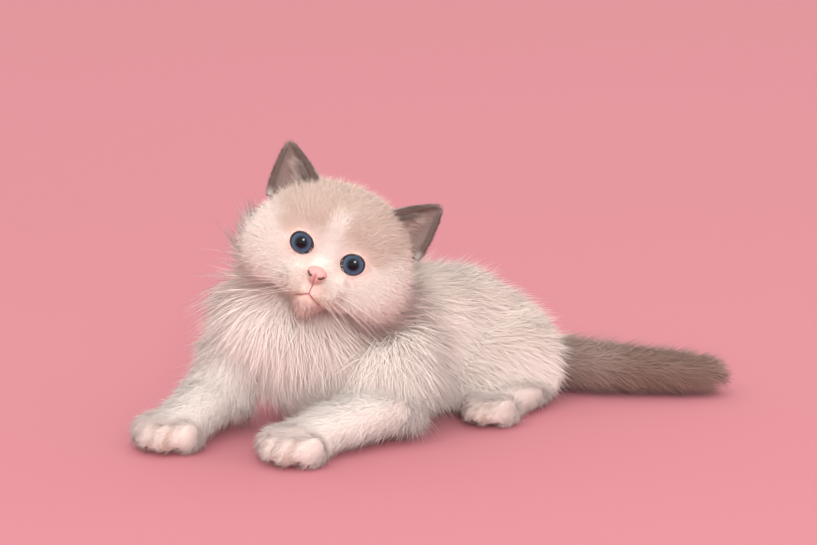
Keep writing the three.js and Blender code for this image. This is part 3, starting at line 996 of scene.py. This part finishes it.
# %% Building a piece of coat from its roots
def build_coat(name, roots, normals, ways, lengths, lifts, widths, clumping, marks, uvs, rng, slot="coat",
               **style):
    """One mesh of locks, with markings, soft normals and the OFBake map."""
    base, bend, tips, half, own = lock_arrays(
        roots, normals, ways, lengths, lifts, widths, clumping, rng, **style)
    count = len(roots)
    axis = unit(bend - base)
    side = unit(np.cross(axis, normals) + 1e-6)
    third = np.cross(axis, side)
    angles = np.arange(SIDES) * 2 * np.pi / SIDES + np.pi / 2
    rim = side[:, None] * np.cos(angles)[None, :, None] + third[:, None] * np.sin(angles)[None, :, None]
    ring = bend[:, None] + rim * half[:, None, None]
    piece = lock_object(name, np.concatenate([base[:, None], ring, tips[:, None]], axis=1))
    layer = piece.data.uv_layers.new(name="OFBake")
    places = uvs[:, None, None, :] * (1 - TUFT_PATCH) + TUFT_PATCH / 2 + PATCH_PLACES[None]
    layer.data.foreach_set("uv", places.astype(np.float32).ravel())

    per_corner = {key: np.repeat(values, CORNERS) for key, values in marks.items()}
    tone = np.clip(rng.normal(0.74, 0.12, count) + rng.normal(0, 0.05, count)[own], 0, 1)
    per_corner["tone"] = np.repeat(tone, CORNERS)
    per_corner["tip"] = np.tile([0.0, 0.7, 0.7, 0.7, 1.0], count)
    paint(piece, per_corner)

    soft = unit(normals + rng.normal(0, 0.10, (count, 3)))
    blend = np.concatenate([soft[:, None], 0.66 * soft[:, None] + 0.34 * rim,
                            (0.85 * soft + 0.15 * axis)[:, None]], axis=1)
    piece.data.normals_split_custom_set_from_vertices(unit(blend).reshape(-1, 3).astype(np.float32))
    piece.data.materials.append(coat)
    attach(piece, "root")
    print(name, count, "locks,", 2 * SIDES * count, "triangles")


# %% Roots scattered over the skin
skin.data.calc_loop_triangles()
tri = read(skin.data.loop_triangles, "vertices", 3, np.int32)
a, b, c = (points[tri[:, i]] for i in range(3))
tri_area = np.linalg.norm(np.cross(b - a, c - a), axis=1) / 2 / MM ** 2
tri_face = in_head((a + b + c) / 3)
tri_share = shares[tri].mean(1)
print("skin area, cm2", round(tri_area.sum() / 100))

# %% [markdown]
# The number of locks per square millimetre follows their length: short fine hair stands close,
# long hair needs fewer. No hair grows in the eyes, on the nose leather or in the mouth line, and
# it is very short round them. Hair that lies on the floor is thinner, since nobody sees it.

# %% Room for hair on the face, and its length
LENGTH_BY_DEPTH, SHORTEST = 2.1, 1.6       # mm of hair for each mm of the coat's depth, and to begin with
NOSE_AT, NOSE_SIZE = np.array([0.0, -14.2, -10.3]), np.array([5.6, 4.4, 5.6])


def face_room(face):
    """How open the place is for hair: eye opening value, nose distance, mouth distance."""
    nose_gap = np.linalg.norm((face - NOSE_AT) / NOSE_SIZE, axis=1)
    return eye_opening(face, 16), nose_gap, gap_to(face, mouth_spots, 34)


def hair_length(points, depth, lie):
    """Length of the hair in mm: from the coat's depth, and short round eyes, nose and mouth."""
    face = in_head(points)
    opening, nose_gap, mouth_gap = face_room(face)
    jaw = smooth(2, -14, face[:, 2]) * smooth(-2, 14, face[:, 1]) * smooth(64, 44, face[:, 1])
    jaw = jaw * smooth(-46, -36, face[:, 2])
    beard = spot(face, (0, -4, -28), (11, 9, 5))
    length = (depth * LENGTH_BY_DEPTH + SHORTEST) * lie[:, 0] * (1 + 0.75 * jaw + 0.9 * beard)
    length = length * (0.30 + 0.70 * smooth(1.05, 2.1, opening))
    length = length * (0.36 + 0.64 * smooth(1.0, 3.2, nose_gap))
    return length * (0.42 + 0.58 * smooth(0.6, 5.5, mouth_gap))


# %% Locks per square millimetre on every triangle
opening, nose_gap, mouth_gap = face_room(tri_face)
tri_head = share_of(tri_share, "head")
tri_normal = soft_normals[tri].mean(1)
tri_point = (a + b + c) / 3
front = smooth(24, 4, tri_face[:, 1]) * tri_head
locks_per_mm2 = 2.35 + 1.75 * tri_head + 1.9 * front
for node, extra in (("foreleg_left_paw", 1.8), ("foreleg_right_paw", 1.8), ("hindleg_left_foot", 1.8),
                    ("hindleg_right_foot", 0.6), ("foreleg_left_forearm", 0.6),
                    ("foreleg_right_forearm", 0.6), ("neck", 0.8), ("tail_root", 1.4),
                    ("tail_middle", 1.6), ("tail_tip", 1.6)):
    locks_per_mm2 = locks_per_mm2 + extra * share_of(tri_share, node)
locks_per_mm2 *= np.where(tri_normal[:, 2] < -0.65, np.where(tri_point[:, 2] < 0.02, 0.15, 0.7), 1.0)
locks_per_mm2 *= 1 - 0.25 * smooth(0.2, 0.8, tri_normal[:, 1])
bare = (opening < 1.04) | (nose_gap < 1.0) | (mouth_gap < 0.75)
chance = tri_area * np.where(bare, 0, locks_per_mm2)

# %% Divide the skin into the pieces of the coat
tail_nodes = ("tail_root", "tail_middle", "tail_tip")
groups = {
    "coat_face": tri_head * smooth(17, 15, tri_face[:, 1]),
    "coat_crown": tri_head * smooth(15, 17, tri_face[:, 1]),
    "coat_breast": share_of(tri_share, "neck", "foreleg_left_upper", "foreleg_right_upper"),
    "coat_trunk": share_of(tri_share, "trunk"),
    "coat_rump": share_of(tri_share, "hindleg_left_thigh", "hindleg_right_thigh"),
    "coat_legs": share_of(tri_share, "foreleg_left_forearm", "foreleg_right_forearm", *toe_rows),
    "coat_tail": share_of(tri_share, *tail_nodes),
}
tri_group = np.argmax(np.stack(list(groups.values())), axis=0)
MOST_LOCKS = 33000                         # keeps each piece under 200,000 triangles
for i, name in enumerate(groups):
    print(name, "area cm2", round(tri_area[tri_group == i].sum() / 100, 1),
          "locks asked", int(chance[tri_group == i].sum()))


# %% Unwrap a part of the skin, for the OFBake map
def unwrapped(faces):
    """UV of the three corners of each of these skin triangles."""
    used, back = np.unique(faces, return_inverse=True)
    copy = new_object("unwrap_copy", points[used], back.reshape(-1, 3))
    in_edit_mode(copy, (bpy.ops.uv.smart_project, {"angle_limit": math.radians(72), "island_margin": 0.002}))
    uv = read(copy.data.uv_layers[0].data, "uv", 2)
    bpy.data.objects.remove(copy)
    return uv.reshape(-1, 3, 2)


# %% Grow the coat, piece by piece
LOCK_WIDTH, WIDER_BY_LENGTH = 0.11, 0.0065  # mm, and mm for each mm of length


def grow(name, group, seed, slot="coat"):
    """Scatters roots over one group of triangles, and builds its coat."""
    rng = np.random.default_rng(seed)
    own = np.flatnonzero((tri_group == group) & (chance > 0))
    wanted = min(int(chance[own].sum()), MOST_LOCKS)
    picked = rng.choice(len(own), wanted, p=chance[own] / chance[own].sum())
    fold = rng.random((wanted, 2))
    fold = np.where(fold.sum(1, keepdims=True) > 1, 1 - fold, fold)
    weights = np.column_stack([1 - fold.sum(1), fold])
    corner = tri[own[picked]]

    def carried(values):
        return np.einsum("nk,nkd->nd", weights, values.reshape(len(values), -1)[corner])

    roots, root_normals = carried(points), unit(carried(soft_normals))
    root_ways = laid_flat(carried(ways), root_normals)
    root_depth, root_lie = carried(depth)[:, 0], carried(lie)
    root_marks = {key: carried(values)[:, 0] for key, values in marks.items()}
    uvs = np.einsum("nk,nkd->nd", weights, unwrapped(tri[own])[picked])
    lengths = hair_length(roots, root_depth, root_lie)
    widths = LOCK_WIDTH + WIDER_BY_LENGTH * lengths
    build_coat(name, roots, root_normals, root_ways, lengths, (root_lie[:, 1], root_lie[:, 2]),
               widths, root_lie[:, 3], root_marks, uvs, rng, slot=slot)


for i, name in enumerate(groups):
    grow(name, i, 100 + i, slot="point_coat" if name == "coat_tail" else "coat")

# %% [markdown]
# ## Hair of the ears
# The ears have short dark hair on the back, which also overhangs the rim; fuzz that stands out
# along the edge; a thin cover inside; and long pale hairs that sweep outward across the opening.
# Their roots are placed by the leaf's own two directions, so the same two directions also unwrap it.

# %% Places on an ear
def ear_frame(side, u, v):
    """Place, normal away from the hollow, the way to the tip and the way past the rim."""
    here, step = ear_point(u, v), 1e-3
    across, along = ear_point(u + step, v) - here, ear_point(u, v + step) - here
    normal = unit(np.cross(along, across))
    normal = normal * np.sign(np.sum(normal * (here * [1, 1, 0] + [0, 3, 0]), axis=1, keepdims=True))
    matrix = np.array(head_matrix @ ear_matrix(side))
    turn = matrix[:3, :3] / MM
    sideward = unit(across) * np.sign(u)[:, None]
    return (here @ matrix[:3, :3].T + matrix[:3, 3], unit(normal @ turn.T), unit(along @ turn.T),
            unit(sideward @ turn.T))


def ear_marks(kind, v):
    """Marks of the ear's hair: dark toward the tip, paler toward the head."""
    dark_share = smooth(0.15, 0.85, v)
    if kind == "back":
        return {"beige": 0.6, "taupe": smooth(0.24, 0.66, v), "dark": 0.55 * dark_share}
    if kind == "inside":
        return {"taupe": 0.15, "inside": 0.7, "dark": 0.15 + 0.3 * dark_share}
    if kind == "long":
        return {"beige": 0.55, "taupe": 0.22}
    return {"taupe": smooth(0.15, 0.32, v), "dark": 0.25 + 0.4 * v}


# %% Kinds of ear hair: how many on an ear, and the lift at root and tip in degrees
EAR_HAIR = {"back": (3400, 18, 7), "inside": (2800, 30, 16), "rim": (1500, 16, 6), "edge": (1900, 52, 34),
            "long": (1400, 50, 20)}
EAR_CHARTS = {(-1, 0): (0.0, 0.0), (1, 0): (0.5, 0.0), (-1, 1): (0.0, 0.5), (1, 1): (0.5, 0.5)}
rng = np.random.default_rng(7)
ear_batches = []
forward = -head_y
for side in (-1, 1):
    sideways = head_x * side
    for kind, (count, *lift) in EAR_HAIR.items():
        v = 0.17 + 0.825 * (1 - np.sqrt(rng.uniform(0.0002, 1.0, count)))
        u = rng.uniform(-0.99, 0.99, count)
        if kind == "rim":
            u = np.sign(u) * rng.uniform(0.86, 1.0, count)
        if kind == "edge":
            u = np.sign(u) * 0.995
        if kind == "long":
            u = -side * rng.uniform(0.1, 0.98, count)
            v = 0.22 + 0.38 * rng.random(count) ** 1.5
        place, outward, to_tip, past_rim = ear_frame(side, u, v)
        hollow = kind in ("inside", "long")
        normal = -outward if hollow else outward
        if kind == "edge":
            normal = unit(past_rim + 0.5 * rng.uniform(-1, 1, (count, 1)) * outward)
        place = place + normal * 0.45 * MM
        if kind == "back":
            way, length = to_tip + 0.1 * outward, 4.0 - 1.2 * v
        elif kind == "inside":
            way, length = to_tip + 0.3 * forward + 0.5 * sideways, np.full(count, 3.6)
        elif kind == "edge":
            way, length = to_tip + 0.35 * rng.normal(size=(count, 3)), 4.2 - 1.2 * v
        elif kind == "rim":
            way, length = to_tip + 1.6 * forward - 0.5 * outward, 4.0 - 1.2 * v
        else:
            way, length = 0.9 * to_tip + 0.75 * sideways + 0.25 * forward, rng.uniform(7, 12, count)
        own = ear_marks(kind, v)
        full = {key: np.broadcast_to(own.get(key, 0.0), count) for key in MARK_NAMES[:6]}
        chart = np.array(EAR_CHARTS[side, int(hollow)])
        uv = chart + 0.01 + 0.48 * np.column_stack([(u + 1) / 2, v])
        ear_batches.append((place, normal, laid_flat(unit(way), normal), length,
                            np.tile(lift, (count, 1)), full, uv))

# %% Build the ears' hair as one piece
gathered = [np.concatenate([batch[i] for batch in ear_batches]) for i in (0, 1, 2, 3, 4, 6)]
place, normal, way, length, lift, uv = gathered
ear_hair_marks = {key: np.concatenate([batch[5][key] for batch in ear_batches]) for key in MARK_NAMES[:6]}
build_coat("coat_ears", place, normal, way, length, (lift[:, 0], lift[:, 1]), 0.15 + 0.004 * length,
           np.full(len(place), 0.10), ear_hair_marks, uv, rng, slot="point_coat", droop=0.0)

# %% Paint the ear leaves and join them to the skin
for ear, side in zip(ears, (-1, 1)):
    placed = head_matrix @ ear_matrix(side)
    inverse = np.array(placed.inverted())
    local = corners_of(ear) @ inverse[:3, :3].T + inverse[:3, 3]
    rise = np.clip((local[:, 2] + EAR_SUNK) / (EAR_HIGH + EAR_SUNK), 0, 1)
    facing = normals_of(ear) @ np.array(placed)[:3, :3] / MM
    hollow = np.sum(facing * unit(local * [1, 1, 0] + [0, 3, 0]), axis=1) < 0
    edge = smooth(0.80, 0.95, np.abs(np.arctan2(local[:, 0] / EAR_WIDE, local[:, 1] + 1.5 * rise)) / EAR_WRAP)
    paint(ear, {"beige": np.full(len(rise), 0.6),
                "taupe": np.where(hollow, 0.1, smooth(0.24, 0.66, rise)),
                "inside": np.where(hollow, 0.9, 0.0) * (1 - edge),
                "dark": np.maximum(np.where(hollow, 0.2, 0.5) * smooth(0.15, 0.85, rise), 0.7 * edge)})
    ear.data.materials.clear()
    ear.data.materials.append(under_coat)
skin = join([skin] + ears, "skin")
in_edit_mode(skin, (bpy.ops.uv.smart_project, {"angle_limit": math.radians(66), "island_margin": 0.002}))
skin.data.uv_layers[0].name = "OFBake"
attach(skin, "root")
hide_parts(*flesh_nodes, "ear_left", "ear_right")
print("skin with ears:", 2 * len(skin.data.polygons), "triangles")

# %% [markdown]
# ## Eyes
# A kitten of this age has large irises of a deep blue with a dark ring round them, and a wide
# pupil. The eyeball is one glossy ball; the colours are rings about the line of sight, measured on
# a UV map that lies across that line. The clear coat stands for the wet cornea.

# %% Eye material
PUPIL, IRIS = 2.1, 5.3                     # radii, mm


def eye_material():
    material = plain_material("eye_blue", (0.2, 0.3, 0.45), 0.16)
    tree_nodes, links = material.node_tree.nodes, material.node_tree.links
    shader = tree_nodes["Principled BSDF"]
    shader.inputs["Specular IOR Level"].default_value = 0.1
    shader.inputs["Coat Weight"].default_value = 0.6
    shader.inputs["Coat Roughness"].default_value = 0.03
    shader.inputs["Coat IOR"].default_value = 1.38
    across = tree_nodes.new("ShaderNodeUVMap")
    across.uv_map = "across_sight"
    centred, radius, round_way = (tree_nodes.new("ShaderNodeVectorMath") for _ in range(3))
    centred.operation, radius.operation, round_way.operation = "SUBTRACT", "LENGTH", "NORMALIZE"
    centred.inputs[1].default_value = (0.5, 0.5, 0)
    links.new(across.outputs[0], centred.inputs[0])
    links.new(centred.outputs[0], radius.inputs[0])
    links.new(centred.outputs[0], round_way.inputs[0])
    streaks = add_node(material, "ShaderNodeTexNoise", Scale=7.5, Detail=3.0)
    links.new(round_way.outputs[0], streaks.inputs["Vector"])
    reach = math_node(material, "MULTIPLY", radius.outputs["Value"], 2.0)        # 1 at the ball's edge
    wavy = math_node(material, "MULTIPLY_ADD", streaks.outputs["Fac"], 0.05, -0.025)
    ramp = tree_nodes.new("ShaderNodeValToRGB")
    links.new(math_node(material, "ADD", reach, wavy), ramp.inputs[0])
    stops = [(0.0, (0.012, 0.012, 0.018)), (PUPIL - 0.15, (0.012, 0.012, 0.018)),
             (PUPIL + 0.5, (0.08, 0.11, 0.16)), (PUPIL + 1.2, (0.22, 0.29, 0.37)),
             (IRIS - 0.8, (0.29, 0.37, 0.46)), (IRIS - 0.35, (0.17, 0.22, 0.28)),
             (IRIS + 0.05, (0.035, 0.035, 0.045)), (IRIS + 0.9, (0.08, 0.06, 0.055))]
    ramp.color_ramp.elements.remove(ramp.color_ramp.elements[1])
    for i, (radius_mm, colour) in enumerate(stops):
        stop = ramp.color_ramp.elements[0] if i == 0 else ramp.color_ramp.elements.new(radius_mm / EYEBALL)
        stop.color = (*linear(colour), 1)
    deep = mix(material, 1.0, ramp.outputs[0], (0.72, 0.75, 0.80), "MULTIPLY")
    bright = mix(material, 1.0, ramp.outputs[0], (1.25, 1.22, 1.18), "MULTIPLY")
    streaked = mix(material, streaks.outputs["Fac"], deep, bright)
    parts = tree_nodes.new("ShaderNodeSeparateXYZ")
    links.new(centred.outputs[0], parts.inputs[0])
    shaded = math_node(material, "MULTIPLY_ADD", parts.outputs["Y"], -1.6, 0.75)      # the upper lid's shade
    shaded.node.use_clamp = True
    streaked = mix(material, shaded, mix(material, 1.0, streaked, (0.45, 0.45, 0.48), "MULTIPLY"), streaked)
    links.new(streaked, shader.inputs["Base Color"])
    return material


# %% Eyeballs
eye_blue = eye_material()
to_camera = {side: unit(in_head(np.array(camera.location)) - centre) for side, centre in eye_centres.items()}
for side, centre in eye_centres.items():
    bpy.ops.object.select_all(action="DESELECT")
    bpy.ops.mesh.primitive_uv_sphere_add(segments=72, ring_count=48, radius=EYEBALL)
    ball = bpy.context.object
    ball.name = ball.data.name = "eyeball_" + side_name[side]
    sight = unit(0.2 * to_camera[side] + 0.8 * np.array([0, -1.0, 0]))
    right = unit(np.cross(sight, [0, 0, 1.0]))
    upright = np.cross(right, sight)
    local = corners_of(ball)
    loop_corner = read(ball.data.loops, "vertex_index", 1, np.int32)[:, 0]
    across = np.column_stack([local @ right, local @ upright]) / EYEBALL * 0.5 + 0.5
    layer = ball.data.uv_layers.new(name="across_sight")
    layer.data.foreach_set("uv", across[loop_corner].astype(np.float32).ravel())
    set_corners(ball, from_head(local + centre))
    if np.linalg.det(head_axes) < 0:
        ball.data.flip_normals()
    ball.data.shade_smooth()
    ball.data.materials.append(eye_blue)
    ball.data.uv_layers.remove(ball.data.uv_layers["UVMap"])
    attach(ball, "root")
    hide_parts("eye_" + side_name[side])
print("eyeballs of radius, mm", EYEBALL, "sight", np.round(sight, 2))

# %% [markdown]
# ## Rims of the lids
# The edge of each lid is bare, dark and wet. A torus is bent to the almond of the opening, with a
# small pink corner toward the nose.

# %% Lid rims
def edge_way(side, turn):
    """Directions from the eye's centre to the edge of its opening, at these turns round it."""
    outward, upward = np.cos(turn), np.sin(turn)
    wide = np.where(outward < 0, OPEN_WIDE * 1.07, OPEN_WIDE)
    edge = 1 / np.hypot(outward / wide, upward / OPEN_HIGH)
    flat = edge / EYEBALL
    ahead = np.sqrt(1 - flat ** 2)
    return unit(np.stack([outward * flat * side, -ahead, (upward + 0.10 * outward) * flat], axis=-1))


lid_dark = two_toned("lid_rim", 900, linear((0.15, 0.10, 0.095)), linear((0.27, 0.19, 0.175)), 0.38)
lid_dark.node_tree.nodes["Principled BSDF"].inputs["Coat Weight"].default_value = 0.5
for side, centre in eye_centres.items():
    bpy.ops.object.select_all(action="DESELECT")
    bpy.ops.mesh.primitive_torus_add(major_segments=96, minor_segments=12, major_radius=1, minor_radius=0.25)
    rim = bpy.context.object
    rim.name = rim.data.name = "lid_rim_" + side_name[side]
    local = corners_of(rim)
    turn = np.arctan2(local[:, 1], local[:, 0])
    outside = (np.hypot(local[:, 0], local[:, 1]) - 1) / 0.25
    above = local[:, 2] / 0.25
    ways_out = edge_way(side, turn)
    thick = 0.33 + 0.14 * smooth(-0.2, 0.9, np.sin(turn)) + 0.12 * smooth(0.8, 1.0, -np.cos(turn))
    flat_out = unit(ways_out * [1, 0, 1])
    flat_out = unit(flat_out - ways_out * np.sum(flat_out * ways_out, axis=1, keepdims=True))
    bent = centre + ways_out * (EYEBALL + 0.22 + 0.8 * above[:, None] * thick[:, None])
    bent = bent + flat_out * (outside * thick)[:, None]
    set_corners(rim, from_head(bent))
    in_edit_mode(rim, FACES_OUT)
    rim.data.shade_smooth()
    rim.data.materials.append(lid_dark)
    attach(rim, "root")

# %% The pink inner corners
corner_pink = two_toned("eye_corner", 1200, linear((0.62, 0.36, 0.35)), linear((0.80, 0.56, 0.53)), 0.3)
for side, centre in eye_centres.items():
    place = centre + edge_way(side, np.array(math.pi)) * (EYEBALL + 0.05)
    corner = soft_ball("eye_corner_" + side_name[side], place, (0.75, 0.5, 0.6), head_matrix)
    corner.data.shade_smooth()
    corner.data.materials.append(corner_pink)
    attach(corner, "root")
print("lid rims bent to", OPEN_WIDE * 2, "x", OPEN_HIGH * 2, "mm")

# %% [markdown]
# ## Nose leather
# The nose is a soft triangle of pebbled pink leather, broad at the top, with a groove down the middle and a
# comma-shaped nostril on each side. A ball is pressed into that shape, and painted shade darkens the groove
# and the nostrils.

# %% Nose
NOSE_RADII, NOSE_PLACE = (5.1, 3.8, 4.7), np.array([0, -13.9, -10.0])
bpy.ops.object.select_all(action="DESELECT")
bpy.ops.mesh.primitive_uv_sphere_add(segments=96, ring_count=64, radius=1)
nose = bpy.context.object
nose.name = nose.data.name = "nose_leather"
ball = corners_of(nose)
height = ball[:, 2]
narrow = 1 - 0.46 * smooth(0.25, -1.0, height) - 0.10 * smooth(0.6, 1.0, height)
shaped = ball * np.array(NOSE_RADII)
shaped[:, 0] *= narrow
shaped[:, 2] = np.where(height > 0, shaped[:, 2] * 0.86, shaped[:, 2])
front_side = smooth(0.1, -0.5, ball[:, 1])
groove_and_shade = np.exp(-(shaped[:, 0] / 0.55) ** 2) * smooth(0.5, -0.3, height) * front_side
shaped[:, 1] += 0.7 * groove_and_shade
across, up = shaped[:, 0], shaped[:, 2]
wing = sum(np.exp(-(((across - s * 3.0) / 1.9) ** 2 + ((up + 0.2) / 1.9) ** 2)) for s in (-1, 1))
shaped[:, 1] -= 0.55 * wing * front_side
hole = np.zeros(len(ball))
for s in (-1, 1):
    for t in np.linspace(0, 1, 15):
        dx, dz, size = 2.2 + 1.7 * t, -1.2 + 1.25 * t ** 2, 0.62 - 0.18 * t
        gap = np.hypot(across - s * dx, up - dz)
        hole = np.maximum(hole, np.exp(-(gap / size) ** 2))
hole = hole * front_side
shaped[:, 1] += 1.5 * hole
set_corners(nose, from_head(shaped + NOSE_PLACE))
nose.data.shade_smooth()
# The taupe of the groove and the dark of the nostrils are painted shade.
paint(nose, {"dark": hole, "taupe": groove_and_shade})

# %% Nose leather's material
nose_pink = plain_material("nose_leather", linear((0.84, 0.62, 0.59)), 0.5)
shader = nose_pink.node_tree.nodes["Principled BSDF"]
pebbled = noise(nose_pink, 1900, 2.0)
skin_tone = mix(nose_pink, pebbled, linear((0.74, 0.53, 0.51)), linear((0.84, 0.68, 0.66)))
# Painted shade in the groove down the middle.
skin_tone = mix(nose_pink, attribute(nose_pink, "taupe"), skin_tone, linear((0.70, 0.46, 0.44)))
# Painted shade in the nostrils.
skin_tone = mix(nose_pink, attribute(nose_pink, "dark"), skin_tone, linear((0.16, 0.05, 0.05)))
nose_pink.node_tree.links.new(skin_tone, shader.inputs["Base Color"])
roughen(nose_pink, pebbled, 0.35, 0.0003)
nose.data.materials.append(nose_pink)
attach(nose, "root")
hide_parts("nose")
print("nose, mm:", NOSE_RADII)

# %% [markdown]
# ## Lips and whiskers
# Both are thin tubes that follow a line of places, so one function makes them. The lips lie in the
# groove of the mouth. The whiskers grow in rows from the pads beside the nose.

# %% A tapering tube through places
def tube(name, lines, sides, material):
    """One mesh of closed tubes; each line is (places in head mm, radii in mm)."""
    all_points, all_faces, start = [], [], 0
    for places, radii in lines:
        along = unit(np.gradient(places, axis=0))
        first = unit(np.cross(along, [0.1, 0.2, 1.0]))
        second = np.cross(along, first)
        turns = np.arange(sides) * 2 * np.pi / sides
        rings = places[:, None] + radii[:, None, None] * (
            first[:, None] * np.cos(turns)[None, :, None] + second[:, None] * np.sin(turns)[None, :, None])
        count = len(places)
        all_points.append(rings.reshape(-1, 3))
        for i in range(count - 1):
            for j in range(sides):
                k = (j + 1) % sides
                low_ring, high_ring = start + i * sides, start + (i + 1) * sides
                all_faces.append((low_ring + j, low_ring + k, high_ring + k, high_ring + j))
        all_faces.append(tuple(start + j for j in reversed(range(sides))))
        all_faces.append(tuple(start + (count - 1) * sides + j for j in range(sides)))
        start += count * sides
    piece = new_object(name, from_head(np.concatenate(all_points)), all_faces)
    in_edit_mode(piece, FACES_OUT)
    piece.data.materials.append(material)
    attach(piece, "root")
    return piece


# %% Lips
lip_pink = two_toned("lip", 700, linear((0.52, 0.31, 0.30)), linear((0.68, 0.45, 0.43)), 0.45)
sunk_lip = lip_spots + np.array([0, 0.45, 0])
sunk_split = split_spots + np.array([0, 0.5, 0])
lip_radii = 0.10 + 0.22 * (1 - np.abs(np.linspace(-1, 1, len(sunk_lip)))) ** 0.8
tube("lips", [(sunk_lip, lip_radii), (sunk_split, np.full(len(sunk_split), 0.24))], 10, lip_pink)

# %% Whiskers
WHISKER_RADIUS, BROW_RADIUS, BROW_LENGTH = 0.095, 0.075, 17     # mm
rng = np.random.default_rng(21)
whisker_white = two_toned("whisker_white", 60, (0.93, 0.90, 0.87), (0.80, 0.76, 0.72), 0.35)
whisker_lines = []
for x, z in whisker_rows:
    side = math.copysign(1, x)
    root = on_face(tree, x, z)
    length = (16 + 2.0 * abs(x)) * rng.uniform(0.9, 1.15)
    rise = math.radians(14 + 5.6 * (z + 13.6) + rng.uniform(-5, 5))
    back = math.radians(22 + rng.uniform(-8, 10))
    way = unit([side * math.cos(rise) * math.cos(back), math.sin(back) - 0.12, math.sin(rise)])
    t = np.linspace(0, 1, 12)[:, None]
    bow = np.array([0, 0.16, -0.22]) * length
    places = root + way * length * t + bow * t ** 2
    whisker_lines.append((places, WHISKER_RADIUS * (1 - 0.85 * t[:, 0])))
# Three more stand above each eye.
for side in (-1, 1):
    for turn in range(3):
        root = on_face(tree, side * (13.5 + 2.2 * turn), 9.5 + 0.5 * turn)
        t = np.linspace(0, 1, 10)[:, None]
        way = unit(np.array([side * (0.35 + 0.2 * turn), -0.15, 0.9]))
        places = root + way * BROW_LENGTH * t + np.array([side * 2.5, 5.0, 0]) * t ** 2
        whisker_lines.append((places, BROW_RADIUS * (1 - 0.8 * t[:, 0])))
tube("whiskers", whisker_lines, 5, whisker_white)
print("whiskers:", len(whisker_lines))
